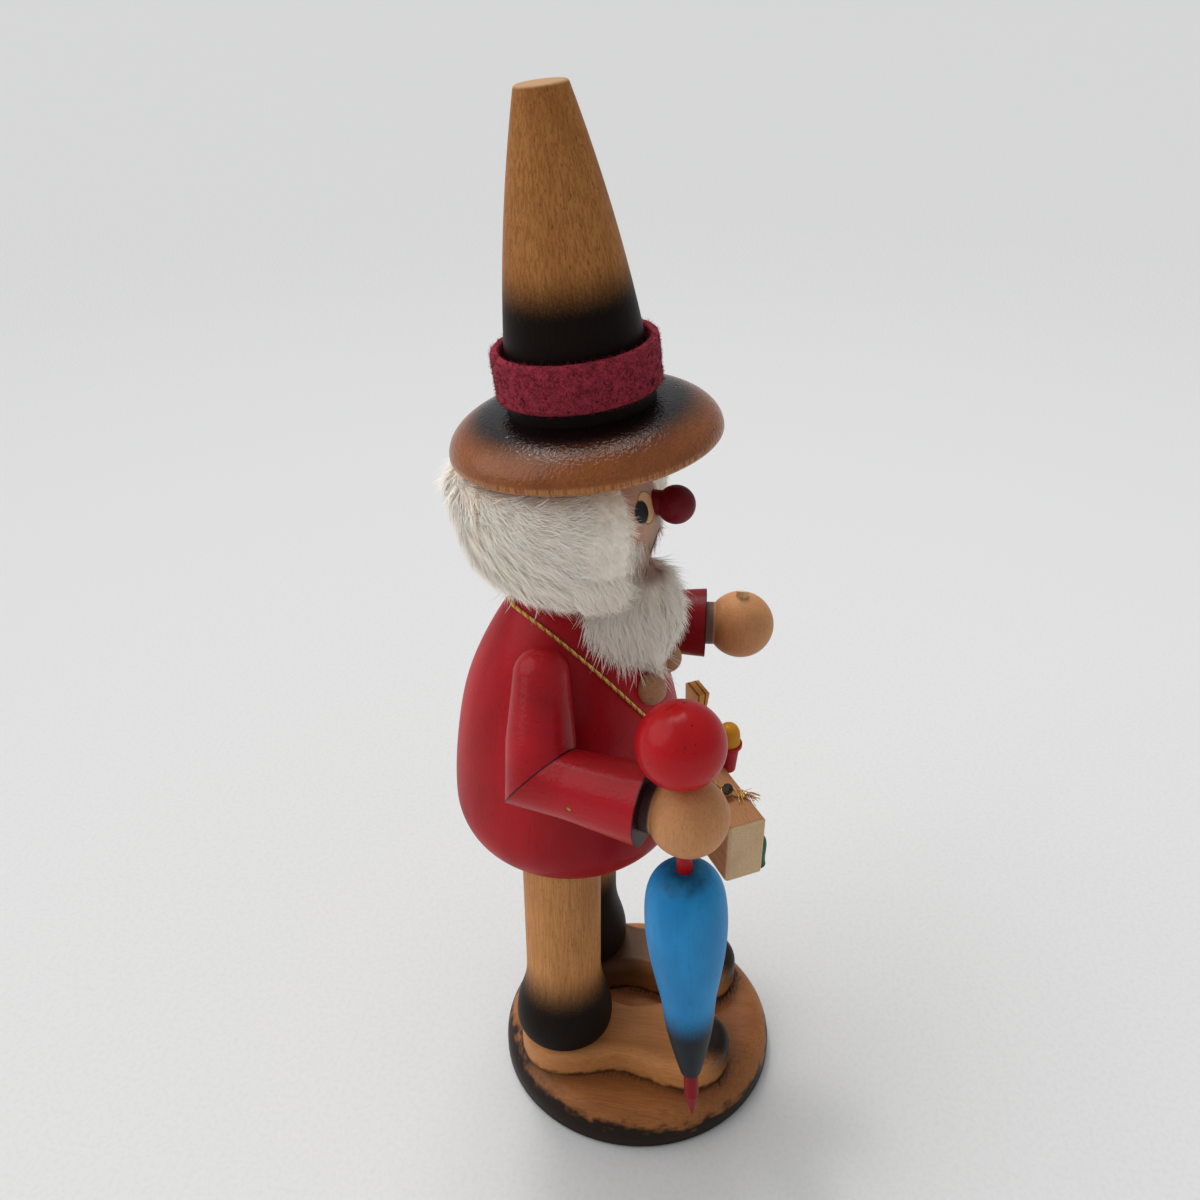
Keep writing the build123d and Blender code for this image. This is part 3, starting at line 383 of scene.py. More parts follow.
foil = foilThread()
cordLine = routeLine(neckCord["route"])
cordPiece = newPiece("neckCord", cordAlong(cordLine), foil, None, ["neck_cord"])
print("cord line", round(sum((b - a).length for a, b in zip(cordLine, cordLine[1:])) / mm, 1), "mm")

# Knots on the two nails, and the near one's tail that lies on the tray and frays
knot = {
    "nails": {"near": (3.903, -21.639, 95.6), "far": (28.332, -6.96, 95.6)},
    "lean": {"near": -35.0, "far": 35.0},
    "turns": 2.6,
    "turnSteps": 40,
    "ring": 1.25,
    "rise": (0.75, 2.2),
    "tail": [(-0.6, -0.9, 1.7), (-1.8, -2.0, 2.1), (-2.9, -3.1, 1.2), (-4.2, -4.2, 0.8)],
    "tufts": {"mid": (-1.9, -2.1, 1.6), "end": (-4.1, -4.1, 0.8)},
    "strays": 14,
    "strayReach": (2.0, 4.6),
    "strayThick": 0.2,
    "strayTurn": (-128, 30),
    "strayWave": 0.5,
    "strayRise": (0.1, 0.7),
    "strayDroop": 0.6,
    "straySteps": 9,
    "seed": 5,
}


def knotSeat(name):
    turn = figure["turn"] + figure["trayTurn"]
    return seatOf(floorSeat, knot["nails"][name], "Z", turn)


def nailKnot(name):
    seat = seatOf(knotSeat(name), axis="Y", turn=knot["lean"][name])
    low, high = knot["rise"]
    steps = int(knot["turns"] * knot["turnSteps"])
    line = []
    for step in range(steps + 1):
        share = step / steps
        coil = Matrix.Rotation(math.tau * knot["turns"] * share, 4, "Z") @ Vector((knot["ring"], 0, 0))
        line.append(seat @ ((coil + Vector((0, 0, low + (high - low) * share))) * mm))
    return newPiece(name + "Knot", cordAlong(line), foil, "tray")


def knotTail():
    seat = knotSeat("near")
    line = routeLine([seat @ (Vector(spot) * mm) / mm for spot in knot["tail"]])
    return newPiece("knotTail", cordAlong(line), foil, "tray")


def frayedEnds():
    dice = random.Random(knot["seed"])
    seat = knotSeat("near")
    tracks = []
    for start in knot["tufts"].values():
        for stray in range(knot["strays"]):
            reach = dice.uniform(*knot["strayReach"])
            swing = math.radians(dice.gauss(*knot["strayTurn"]))
            way = Vector((math.cos(swing), math.sin(swing), 0))
            wave = dice.uniform(-knot["strayWave"], knot["strayWave"])
            rise = dice.uniform(*knot["strayRise"])
            track = []
            for step in range(knot["straySteps"] + 1):
                share = step / knot["straySteps"]
                spot = Vector(start) + way * reach * share
                spot += way.cross(upward) * wave * math.sin(share * 5.0)
                lift = reach * (rise * share - knot["strayDroop"] * share * share)
                spot.z = max(knot["strayThick"], spot.z + lift)
                track.append(seat @ (spot * mm))
            tracks.append(track)
    strays = yarnTubes(tracks, knot["strayThick"] * mm / 2, 4)
    return newPiece("frayedEnds", strays, foil, "tray")


knotPieces = [nailKnot("near"), nailKnot("far"), knotTail(), frayedEnds()]
cordTop, cordFoot = (Vector((0, 0, height)) * mm for height in neckCord["follow"])
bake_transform(cordPiece)
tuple(cordTop)
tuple(cordFoot)
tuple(cordLine[0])
print("neck cord, knots and frayed tail made")

# Hat crown: clear lacquer over beech, black airbrushed round its foot
crown = {
    "pale": "#B47A44", "dark": "#8E562A", "pore": "#3E2614", "streaks": 0.75, "pores": 0.75,
    "black": "#040507", "spray": (44.5, 33.0), "end": "#D2AA80", "endAt": (77.0, 77.6),
}


def crownFinish():
    material, tree, coords = startFinish("lacqueredBeechCrown")
    color, pores = beechGrain(tree, coords, hatSeat, crown)
    height = ownAxes(tree, coords, hatSeat)["Z"]
    color = paintOver(tree, color, crown["end"], height, *crown["endAt"], 0.7)  # sawn end at the top
    color = sprayOver(tree, coords, hatSeat, color, crown["black"], height, *crown["spray"])
    peel = mottle(tree, coords, hatSeat, 1.0)
    return endFinish(material, color, 0.44, [(peel, 0.05), (pores, 0.02)], specular=0.06)


setFinish(crownFinish(), "hat_crown")

# Hat brim: black airbrushed from the crown outwards, under thick lacquer with a pebbled face
brim = {
    "pale": "#955426", "dark": "#783F1A", "pore": "#40240F", "streaks": 0.6, "pores": 0.6,
    "black": "#040406", "spray": (30.4, 22.3), "topAt": (2.4, 3.6), "edge": "#B8793F", "edgeAt": (3.4, 2.8),
}


def brimFinish():
    material, tree, coords = startFinish("lacqueredBeechBrim")
    color = beechGrain(tree, coords, seatOf(hatSeat, axis="Y", turn=90), brim)[0]
    height = ownAxes(tree, coords, hatSeat)["Z"]
    radius = distance(tree, coords, hatSeat, (1, 1, 1e6))  # height left out
    lines = mottle(tree, coords, hatSeat, (0.5, 0.5, 6.0), 3.0)
    rim = paintOver(tree, brim["edge"], brim["dark"], lines, 0.40, 0.72)
    edge = addNode(tree, "MapRange", [height, *brim["edgeAt"], 0.0, 0.8])
    color = addNode(tree, "Mix", {0: edge, 6: color, 7: rim}, data_type="RGBA")
    sprayed = sprayOver(tree, coords, hatSeat, color, brim["black"], radius, *brim["spray"])
    top = addNode(tree, "MapRange", [height, *brim["topAt"], 0.0, 1.0])
    color = addNode(tree, "Mix", {0: top, 6: color, 7: sprayed}, data_type="RGBA")
    peel = mottle(tree, coords, hatSeat, 0.8)  # drawn a little coarser than real, to show
    shine = {"specular": 0.05, "Coat_Weight": 0.6, "Coat_Roughness": 0.08}
    return endFinish(material, color, 0.45, [(peel, 0.2)], **shine)


setFinish(brimFinish(), "hat_brim")

# Legs: clear lacquer over beech, boots airbrushed black from the foot up
legs = {
    "pale": "#CE9158", "dark": "#B27745", "pore": "#6A4222", "streaks": 0.85, "pores": 0.6,
    "black": "#04070B", "spray": {"right": (50.0, 33.0), "left": (64.0, 45.0)},
}


def legFinish(name):
    material, tree, coords = startFinish(name + "BootBeech")
    seat = legSeats[name]
    color, pores = beechGrain(tree, coords, seat, legs)
    height = ownAxes(tree, coords, seat)["Z"]
    color = sprayOver(tree, coords, seat, color, legs["black"], height, *legs["spray"][name])
    peel = mottle(tree, coords, seat, 0.9)
    return endFinish(material, color, 0.48, [(peel, 0.05), (pores, 0.02)], specular=0.07)


for name in legSeats:
    setFinish(legFinish(name), name + "_leg")

# Shoes and base: orange stain, airbrushed toes, soles and rim brushed with black, round the heels a little
# soot and on the far shoe painted shadow of the leg
shoes = {
    "pale": "#CE8C54", "dark": "#A86C3C", "pore": "#5A361C", "streaks": 0.5, "pores": 0.3,
    "black": "#0C0908", "toe": (0.0, -44.0, 18.5), "toeSpray": (13.0, 4.0),
    "heel": (0.0, -6.0, 20.0), "heelSootAndShadeAt": (32.0, 10.0), "soot": {"right": 0.08, "left": 0.84},
    "sole": (10.2, 8.4), "reach": 36.0, "endWidth": 12.5, "waistWidth": 8.8,
}
base = {
    "pale": "#A86C3C", "dark": "#854F2A", "pore": "#4A2C18", "streaks": 0.6, "pores": 0.4,
    "shade": "#6A4228", "shadeAt": (12.0, 3.0), "char": "#0E0B0A", "lineAt": (5.8, 3.2), "radius": 40.0,
    "rimAt": (8.6, 5.0), "rimSlope": 0.9, "rimUneven": 9.0, "thickSide": (1.8, -1.8, 0.0),
}


def shoeFinish(name):
    material, tree, coords = startFinish(name + "ShoeBeech")
    seat = legSeats[name]
    color = beechGrain(tree, coords, seatOf(seat, axis="X", turn=90), shoes)[0]
    away = distance(tree, coords, seatOf(seat, shoes["toe"]))
    color = sprayOver(tree, coords, seat, color, shoes["black"], away, *shoes["toeSpray"])
    away = distance(tree, coords, seatOf(seat, shoes["heel"]))
    # round the heel: on the far shoe mostly painted shadow of the leg, on the near one a little soot
    color = paintOver(tree, color, shoes["black"], away, *shoes["heelSootAndShadeAt"], shoes["soot"][name])
    height = ownAxes(tree, coords, seat)["Z"]
    brush = mottle(tree, coords, seat, 2.4, 4.0)
    edge = addNode(tree, "Math", [brush, -3.4, height], operation="MULTIPLY_ADD")
    color = paintOver(tree, color, shoes["black"], edge, *shoes["sole"], 0.8)
    peel = mottle(tree, coords, seat, 0.9)
    return endFinish(material, color, 0.44, [(peel, 0.05)], specular=0.18)


def shoeDistance(tree, coords, seat):
    # how far a point of the base lies from a shoe's outline, in mm
    own = ownAxes(tree, coords, seat)
    spine = addNode(tree, "Clamp", [own["Y"], -shoes["reach"], 0.0])
    past = addNode(tree, "Math", [own["Y"], spine], operation="SUBTRACT")
    away = addNode(tree, "CombineXYZ", [own["X"], past, 0.0])
    away = addNode(tree, "VectorMath", [away], operation="LENGTH")
    middle = addNode(tree, "Math", [spine, 2 / shoes["reach"], 1.0], operation="MULTIPLY_ADD")
    middle = addNode(tree, "Math", [middle, middle], operation="MULTIPLY")
    swell = shoes["endWidth"] - shoes["waistWidth"]
    width = addNode(tree, "Math", [middle, swell, shoes["waistWidth"]], operation="MULTIPLY_ADD")
    return addNode(tree, "Math", [away, width], operation="SUBTRACT")


def baseFinish():
    material, tree, coords = startFinish("stainedBeechBase")
    color = beechGrain(tree, coords, seatOf(floorSeat, axis="X", turn=90), base)[0]
    patches = mottle(tree, coords, floorSeat, 13.0, 3.0)
    gaps = [shoeDistance(tree, coords, seat) for seat in legSeats.values()]
    gap = addNode(tree, "Math", gaps, operation="MINIMUM")
    brush = mottle(tree, coords, floorSeat, (2.2, 0.6, 1.0), 5.0)
    gap = addNode(tree, "Math", [brush, 7.0, gap], operation="MULTIPLY_ADD")
    color = paintOver(tree, color, base["shade"], gap, *base["shadeAt"], 0.6)
    lined = paintOver(tree, color, base["char"], gap, *base["lineAt"], 0.85)
    broken = addNode(tree, "MapRange", [patches, 0.38, 0.56, 0.0, 1.0])
    color = addNode(tree, "Mix", {0: broken, 6: color, 7: lined}, data_type="RGBA")
    own = ownAxes(tree, coords, floorSeat)
    turn = addNode(tree, "Math", [own["Y"], own["X"]], operation="ARCTAN2")
    strokeAt = addNode(tree, "CombineXYZ", [turn, own["Z"], 0.0])
    strokeAt = addNode(tree, "VectorMath", [strokeAt, (9.0, 0.5, 1.0)], operation="MULTIPLY")
    strokes = addNode(tree, "TexNoise", {"Vector": strokeAt, "Scale": 1.0, "Detail": 6.0})
    flat = addNode(tree, "CombineXYZ", [own["X"], own["Y"], 0.0])
    radius = addNode(tree, "VectorMath", [flat], operation="LENGTH")
    inward = addNode(tree, "Math", [base["radius"], radius], operation="SUBTRACT")
    edge = addNode(tree, "Math", [inward, base["rimSlope"], own["Z"]], operation="MULTIPLY_ADD")
    side = addNode(tree, "VectorMath", [flat, base["thickSide"]], operation="DOT_PRODUCT")
    edge = addNode(tree, "Math", [side, 1 / base["radius"], edge], operation="MULTIPLY_ADD")
    for uneven in (strokes, patches):  # each about a half, so that together they leave the rim in place
        edge = addNode(tree, "Math", [uneven, -base["rimUneven"], edge], operation="MULTIPLY_ADD")
    edge = addNode(tree, "Math", [edge, base["rimUneven"]])
    color = paintOver(tree, color, base["char"], edge, *base["rimAt"], 0.96)
    peel = mottle(tree, coords, floorSeat, 0.9)
    return endFinish(material, color, 0.46, [(peel, 0.05), (strokes, 0.08)], specular=0.18)


for name in legSeats:
    setFinish(shoeFinish(name), name + "_foot")
setFinish(baseFinish(), "base_disc")

# Hands: pale lacquered balls with pin-prick pores, on turned wrists stained dull purple, the right wrist
# painted much darker as shade in the gap under the cuff
hands = {
    "pale": "#CE9262", "dark": "#B27A4E", "pore": "#4A2C18", "streaks": 0.4, "pores": 0.35,
    "wristStainAndShade": {"right": "#33222A", "left": "#6E5448"}, "wristAt": (29.6, 28.8),
}


def handFinish(name):
    material, tree, coords = startFinish(name + "HandBeech")
    seat = armSeats[name]
    color = beechGrain(tree, coords, seatOf(seat, axis="X", turn=90), hands)[0]
    pricks = mottle(tree, coords, seat, 0.7, 1.0)
    color = paintOver(tree, color, hands["pore"], pricks, 0.75, 0.80, 0.85)
    reach = ownAxes(tree, coords, seat)["Z"]
    # the wrists: a dull purple stain, and on the right one painted shade
    color = paintOver(tree, color, hands["wristStainAndShade"][name], reach, *hands["wristAt"], 0.95)
    peel = mottle(tree, coords, seat, 1.1)
    return endFinish(material, color, 0.48, [(peel, 0.05), (pricks, 0.03)], specular=0.15)


for name in armSeats:
    setFinish(handFinish(name), name + "_hand")

# Head: skin-toned wood with brushed eyes, pale ovals with a dark pupil towards the side
face = {
    "pale": "#CC9E82", "dark": "#B08468", "pore": "#6A4A34", "streaks": 0.5, "pores": 0.25,
    "cheek": "#C08878", "oval": "#E8B886", "rim": "#2A2018", "pupil": "#15171B", "glint": "#8E9090",
    "ovalAt": (17.0, 6.4, 3.3, 3.6),  # turn, height, half width, half height
    "pupilAt": (24.0, 6.2, 2.4, 2.6),
    "smoke": "#5A3820", "smokeAt": (12.0, 3.0),
}


def faceFinish():
    material, tree, coords = startFinish("paintedBeechFace")
    color, pores = beechGrain(tree, coords, headSeat, face)
    flush = mottle(tree, coords, headSeat, 8.0)
    color = paintOver(tree, color, face["cheek"], flush, 0.40, 0.64, 0.7)
    for side in (-1, 1):
        for paint in ("oval", "pupil"):
            turn, height, wide, tall = face[paint + "At"]
            spot = seatOf(seatOf(headSeat, turn=side * turn), (0, 0, height))
            brush = mottle(tree, coords, spot, (0.5, 8.0, 1.2), 3.0)
            away = distance(tree, coords, spot, (wide, 1000.0, tall))
            away = addNode(tree, "Math", [brush, 0.15, away], operation="MULTIPLY_ADD")
            inked = paintOver(tree, color, face["rim"], away, 1.14, 1.09, 0.6)
            inked = paintOver(tree, inked, face[paint], away, 1.06, 1.0, 0.98)
            if paint == "pupil":
                inked = paintOver(tree, inked, face["glint"], brush, 0.62, 0.80, 0.3)
            ahead = addNode(tree, "Math", [ownAxes(tree, coords, spot)["Y"], 0.0], operation="LESS_THAN")
            inside = addNode(tree, "Math", [away, 1.16], operation="LESS_THAN")
            inside = addNode(tree, "Math", [ahead, inside], operation="MULTIPLY")
            color = addNode(tree, "Mix", {0: inside, 6: color, 7: inked}, data_type="RGBA")
    away = distance(tree, coords, mouthSeat)
    color = paintOver(tree, color, face["smoke"], away, *face["smokeAt"], 0.85)
    return endFinish(material, color, 0.5, [(pores, 0.02)], specular=0.3)


setFinish(faceFinish(), "head")

# Sprayed lacquer: orange peel, a slow change of depth, grain just showing, dirt rubbed into some seams, and
# at each cuff's end a dark band that is partly dirt and partly painted shade
redCoat = {
    "pale": "#B21420", "dark": "#9C101A", "grain": "#780A14", "scuff": "#5A1216", "seam": "#1E0608",
    "scuffs": 0.25, "peel": 0.05, "rough": 0.45, "specular": 0.1, "gloss": 0.12,
}
knobCoat = {
    **redCoat, "pale": "#BA0C16", "dark": "#A80A12", "grain": "#900A12", "scuff": "#2E0608",
    "scuffs": 0.9, "gloss": 0.28,
}
# Sleeves: the far ones get the same red painted darker, as painted shade
sleeveCoatsLeftShaded = {
    "right": {**redCoat, "peel": 0.08, "gloss": 0.3},
    # the far sleeve's darker red is painted shade
    "left": {**redCoat, "pale": "#84101A", "dark": "#720C14"},
}
tipCoat = {**redCoat, "pale": "#8C121C", "dark": "#7A121C", "scuff": "#3E2420", "scuffs": 0.9}
noseCoat = {**redCoat, "pale": "#72101C", "dark": "#5E0C16", "grain": "#480812", "scuff": "#46121A"}
bellCoat = {**redCoat, "pale": "#1C6A48", "dark": "#145038", "grain": "#103E2C", "scuff": "#2A5A48"}
domeCoat = {**redCoat, "pale": "#DE9C22", "dark": "#CE881A", "grain": "#B87818", "scuff": "#C89A4A"}
# Where that dirt and the painted shade at the cuffs sit and how wide they are, in mm
dirt = {"bodyFoot": 85.5, "bodyWidth": 0.22, "cuffShade": 27.0, "cuffShadeWidth": 0.5, "mitreWidth": 0.3}


def lacquerFinish(name, seat, coat, seamsAndShades=()):
    material, tree, coords = startFinish(name)
    depth = mottle(tree, coords, seat, (14.0, 14.0, 40.0))
    color = paintOver(tree, coat["pale"], coat["dark"], depth, 0.36, 0.68)
    streak = mottle(tree, coords, seat, (0.5, 0.5, 9.0), 3.0)
    color = paintOver(tree, color, coat["grain"], streak, 0.54, 0.78, 0.5)
    scuff = mottle(tree, coords, seat, (1.0, 1.0, 1.6), 4.0)
    worn = mottle(tree, coords, seat, 9.0)
    scuff = addNode(tree, "Math", [worn, 0.4, scuff], operation="MULTIPLY_ADD")  # marks come in clusters
    color = paintOver(tree, color, coat["scuff"], scuff, 0.86, 0.92, coat["scuffs"])
    for spot, facing, width in seamsAndShades:
        away = addNode(tree, "VectorMath", [coords, spot], operation="SUBTRACT")
        away = addNode(tree, "VectorMath", [away, facing], operation="DOT_PRODUCT")
        away = addNode(tree, "Math", [away], operation="ABSOLUTE")
        # dark bands: dirt in the torso and elbow seams, partly dirt and partly painted shade at the cuff
        # ends
        color = paintOver(tree, color, coat["seam"], away, width * mm, 0.3 * width * mm, 0.95)
    peel = mottle(tree, coords, seat, 0.8)
    rough = addNode(tree, "MapRange", [depth, 0.3, 0.7, coat["rough"], coat["rough"] + 0.12])
    bumps = [(peel, coat["peel"]), (streak, 0.012)]
    shine = {"specular": coat["specular"], "Coat_Weight": coat["gloss"], "Coat_Roughness": 0.16}
    return endFinish(material, color, rough, bumps, **shine)


seam = (bodySeat @ Vector((0, 0, dirt["bodyFoot"] * mm)), upward, dirt["bodyWidth"])
setFinish(lacquerFinish("seamedRedLacquer", bodySeat, redCoat, [seam]), "torso_shell")
setFinish(lacquerFinish("redSprayLacquer", bodySeat, redCoat), "leg_plug", "red_tub")
for name, seat in armSeats.items():
    # the cuff's end: a dark band, partly dirt and partly painted shade
    cuffShade = (seat @ Vector((0, 0, dirt["cuffShade"] * mm)), seat.to_3x3() @ upward, dirt["cuffShadeWidth"])
    mitre = (*mitres[name], dirt["mitreWidth"])
    coat = lacquerFinish(name + "SleeveLacquerAndShade", seat, sleeveCoatsLeftShaded[name], [mitre, cuffShade])
    setFinish(coat, name + "_forearm", name + "_upper_arm")
setFinish(lacquerFinish("wineLacquer", headSeat, noseCoat), "nose")
setFinish(lacquerFinish("scarletLacquer", umbrellaSeat, knobCoat), "umbrella_knob", "umbrella_stick")
setFinish(lacquerFinish("scuffedScarletLacquer", umbrellaSeat, tipCoat), "umbrella_tip")
setFinish(lacquerFinish("greenLacquer", traySeat, bellCoat), "green_bell")
setFinish(lacquerFinish("yellowLacquer", traySeat, domeCoat), "yellow_dome")

# Umbrella canopy: sky-blue spray, soot smudged at the stick, a black fade at the point, grey marks
canopy = {
    "pale": "#2690CE", "dark": "#1F82BE", "dirt": "#2A4A5C", "streak": "#1B6C9E", "black": "#0C0D0F",
    "fade": (-56.0, -69.5), "soot": (-15.6, -11.2), "smudge": 6.0,
}


def canopyFinish():
    material, tree, coords = startFinish("blueSprayLacquer")
    depth = mottle(tree, coords, umbrellaSeat, (10.0, 10.0, 26.0))
    color = paintOver(tree, canopy["pale"], canopy["dark"], depth, 0.36, 0.66)
    brushed = mottle(tree, coords, umbrellaSeat, (0.7, 0.7, 14.0), 3.0)
    color = paintOver(tree, color, canopy["streak"], brushed, 0.50, 0.78, 0.3)
    marks = mottle(tree, coords, umbrellaSeat, (1.4, 1.4, 3.2), 4.0)
    color = paintOver(tree, color, canopy["dirt"], marks, 0.64, 0.76, 0.4)
    height = ownAxes(tree, coords, umbrellaSeat)["Z"]
    color = sprayOver(tree, coords, umbrellaSeat, color, canopy["black"], height, *canopy["fade"])
    smudge = mottle(tree, coords, umbrellaSeat, 5.0, 5.0)
    sooty = addNode(tree, "Math", [smudge, canopy["smudge"], height], operation="MULTIPLY_ADD")
    color = paintOver(tree, color, canopy["black"], sooty, *canopy["soot"], 0.85)
    peel = mottle(tree, coords, umbrellaSeat, 0.8)
    return endFinish(material, color, 0.46, [(peel, 0.03)], specular=0.18)


setFinish(canopyFinish(), "umbrella_canopy")

# Tray: brown stain on the long faces, bare sawn wood on the ends
tray = {
    "pale": "#C48C5E", "dark": "#A67048", "pore": "#5A3A24", "streaks": 0.7, "pores": 0.4,
    "end": {"pale": "#E4C298", "dark": "#CCA87E", "pore": "#86694C", "streaks": 0.6, "pores": 0.25},
    "endAt": (25.6, 26.0),
}


def trayFinish():
    material, tree, coords = startFinish("stainedBeechTray")
    grain = seatOf(traySeat, axis="Y", turn=90)
    color, pores = beechGrain(tree, coords, grain, tray)
    bare = beechGrain(tree, coords, grain, tray["end"])[0]
    along = addNode(tree, "Math", [ownAxes(tree, coords, traySeat)["X"]], operation="ABSOLUTE")
    sawn = addNode(tree, "MapRange", [along, *tray["endAt"], 0.0, 1.0])
    color = addNode(tree, "Mix", {0: sawn, 6: color, 7: bare}, data_type="RGBA")
    return endFinish(material, color, 0.65, [(pores, 0.03)], specular=0.25)


setFinish(trayFinish(), "tray_block")

# Striped box: yellow lacquer with thin hand-drawn red-brown lines
stripes = {"ground": "#DE9A34", "line": "#8A3018", "pitch": 1.1, "lineAt": (0.77, 0.902)}


def stripeFinish():
    material, tree, coords = startFinish("stripedYellowLacquer")
    wobble = mottle(tree, coords, traySeat, (2.0, 2.0, 5.0))
    along = ownAxes(tree, coords, traySeat)["Y"]
    along = addNode(tree, "Math", [wobble, 0.5, along], operation="MULTIPLY_ADD")
    beat = addNode(tree, "Math", [along, stripes["pitch"]], operation="PINGPONG")
    color = paintOver(tree, stripes["ground"], stripes["line"], beat, *stripes["lineAt"])
    return endFinish(material, color, 0.45, [(wobble, 0.03)], specular=0.3)


setFinish(stripeFinish(), "striped_box")

# Small ware: bare pegs, stained buttons, dark nails and brass sheet
pegs = {
    "pale": "#E2BA88", "dark": "#CCA06C", "pore": "#7A5A3A", "streaks": 0.6, "pores": 0.4, "rough": 0.65,
}
buttons = {
    "pale": "#B88662", "dark": "#98684A", "pore": "#3A241A", "streaks": 0.5, "pores": 0.6, "rough": 0.55,
}
nails = {"pale": "#5E5048", "dark": "#3A2E28", "rough": 0.4}
brass = {"pale": "#B8924A", "dark": "#8A6A34", "rough": 0.35}


def plainFinish(name, seat, tones):
    material, tree, coords = startFinish(name)
    color, pores = beechGrain(tree, coords, seat, tones)
    return endFinish(material, color, tones["rough"], [(pores, 0.03)], specular=0.3)


def metalFinish(name, metal):
    # drawn wire and rolled sheet with handling marks and a dull film
    material, tree, coords = startFinish(name)
    film = mottle(tree, coords, floorSeat, 1.4, 4.0)
    color = paintOver(tree, metal["pale"], metal["dark"], film, 0.40, 0.72)
    dull = addNode(tree, "MapRange", [film, 0.3, 0.75, metal["rough"], metal["rough"] + 0.25])
    return endFinish(material, color, dull, [(film, 0.01)], Metallic=1.0)


setFinish(
    plainFinish("bareBeechPegs", bodySeat, pegs),
    "right_ankle_dowel", "left_ankle_dowel", "right_hip_dowel", "left_hip_dowel",
    "right_shoulder_dowel", "left_shoulder_dowel", "peg_stub",
)
buttonGrain = seatOf(bodySeat, axis="X", turn=60)
setFinish(plainFinish("stainedBeechButtons", buttonGrain, buttons), "right_button", "left_button")
setFinish(metalFinish("darkSteelNails", nails), "right_cord_nail", "left_cord_nail", "plate_nail")
setFinish(metalFinish("brassSheet", brass), "incense_plate", "right_elbow_brad", "left_elbow_brad")
print("finishes set on", sum(1 for node in nodes.values() if node.data.materials), "nodes")

# Fur: off-white pelt cut to shape and glued on, each hair a slightly different tone, stained by smoke
fur = {
    "pale": "#FFFDF6", "dark": "#FFF3E4", "lock": "#FEEDDA", "root": "#FBE8D4", "smoke": "#9A5420",
    "stain": (14.5, 10.0, 9.0), "rootSink": 0.3, "brimGap": 0.25, "waveSeed": 5,
    "tones": [index / 7 for index in range(8)],
}


def furFinish():
    material, tree, coords = startFinish("whitePeltFur")
    own = addNode(tree, "SeparateXYZ", [addNode(tree, "UVMap", uv_map="hairs")])
    color = addNode(tree, "Mix", {0: own.outputs["X"], 6: fur["pale"], 7: fur["dark"]}, data_type="RGBA")
    locks = mottle(tree, coords, headSeat, (5.0, 5.0, 7.0))
    color = paintOver(tree, color, fur["lock"], locks, 0.50, 0.74, 0.45)
    color = paintOver(tree, color, fur["root"], own.outputs["Y"], 0.45, 0.0, 0.5)
    away = distance(tree, coords, mouthSeat, fur["stain"])
    color = paintOver(tree, color, fur["smoke"], away, 1.0, 0.45, 0.8)
    return endFinish(material, color, 0.7, [], specular=0.3)


def strandTuft(name, tuft, layer, tone, seed):
    # a few tapered hairs from one root: local X is the way they are combed, local Z stands off the skin
    dice = random.Random(seed)
    bm = bmesh.new()
    uv = bm.loops.layers.uv.new(layer)
    for strand in range(tuft["hairs"]):
        hue = min(1.0, max(0.0, tone + dice.uniform(-0.15, 0.15)))
        reach = tuft["length"] * dice.uniform(*tuft["spread"])
        lift = math.radians(dice.uniform(*tuft["lift"]))
        sway = math.radians(dice.gauss(0, tuft["sway"]))
        root = Vector((dice.gauss(0, tuft["root"]), dice.gauss(0, tuft["root"]), 0))
        ring = bmesh.ops.create_circle(bm, segments=3, radius=tuft["thick"] / 2, cap_ends=True)["verts"]
        bmesh.ops.translate(bm, vec=root, verts=ring)
        face = ring[0].link_faces[0]
        shares = {vert: 0.0 for vert in ring}
        for step in range(1, tuft["steps"] + 1):
            share = step / tuft["steps"]
            bend, side = lift * (1 - tuft["bend"] * share), sway * share
            level = math.cos(bend)
            ahead = Vector((level * math.cos(side), level * math.sin(side), math.sin(bend)))
            face, ring = drawOut(bm, face)
            bmesh.ops.translate(bm, vec=ahead * reach / tuft["steps"], verts=ring)
            shares.update({vert: share for vert in ring})
        for face in {face for vert in shares for face in vert.link_faces}:
            for loop in face.loops:
                loop[uv].uv = (hue, shares[loop.vert])
        tip = sum((vert.co for vert in ring), Vector()) / len(ring)
        bmesh.ops.pointmerge(bm, verts=ring, merge_co=tip)
    bmesh.ops.recalc_face_normals(bm, faces=bm.faces)
    mesh = bpy.data.meshes.new(name)
    bm.to_mesh(mesh)
    bm.free()
    return mesh


def tuftSet(label, tuft, layer, tones, seed):
    tufts = []
    for index, tone in enumerate(tones):
        tufts.append(strandTuft(f"{label}Tuft{index}", tuft, layer, tone, seed + index))
    return tufts


def rootsOn(bm, count, seed):
    # points spread evenly by area over a skin of triangles, each with its normal
    dice = random.Random(seed)
    faces = list(bm.faces)
    weights = [face.calc_area() for face in faces]
    for face in dice.choices(faces, weights, k=count):
        a, b, c = (vert.co for vert in face.verts)
        u, v = dice.random(), dice.random()
        if u + v > 1:
            u, v = 1 - u, 1 - v
        yield a + (b - a) * u + (c - a) * v, face.normal.copy(), dice


def plantTuft(bm, tufts, root, normal, comb, scale, dice):
    comb = (comb - normal * comb.dot(normal)).normalized()
    seat = Matrix((comb, normal.cross(comb), normal)).transposed().to_4x4()
    copy = dice.choice(tufts).copy()
    copy.transform(Matrix.Translation(root) @ seat @ Matrix.Scale(scale * mm, 4))
    bm.from_mesh(copy)
    bpy.data.meshes.remove(copy)


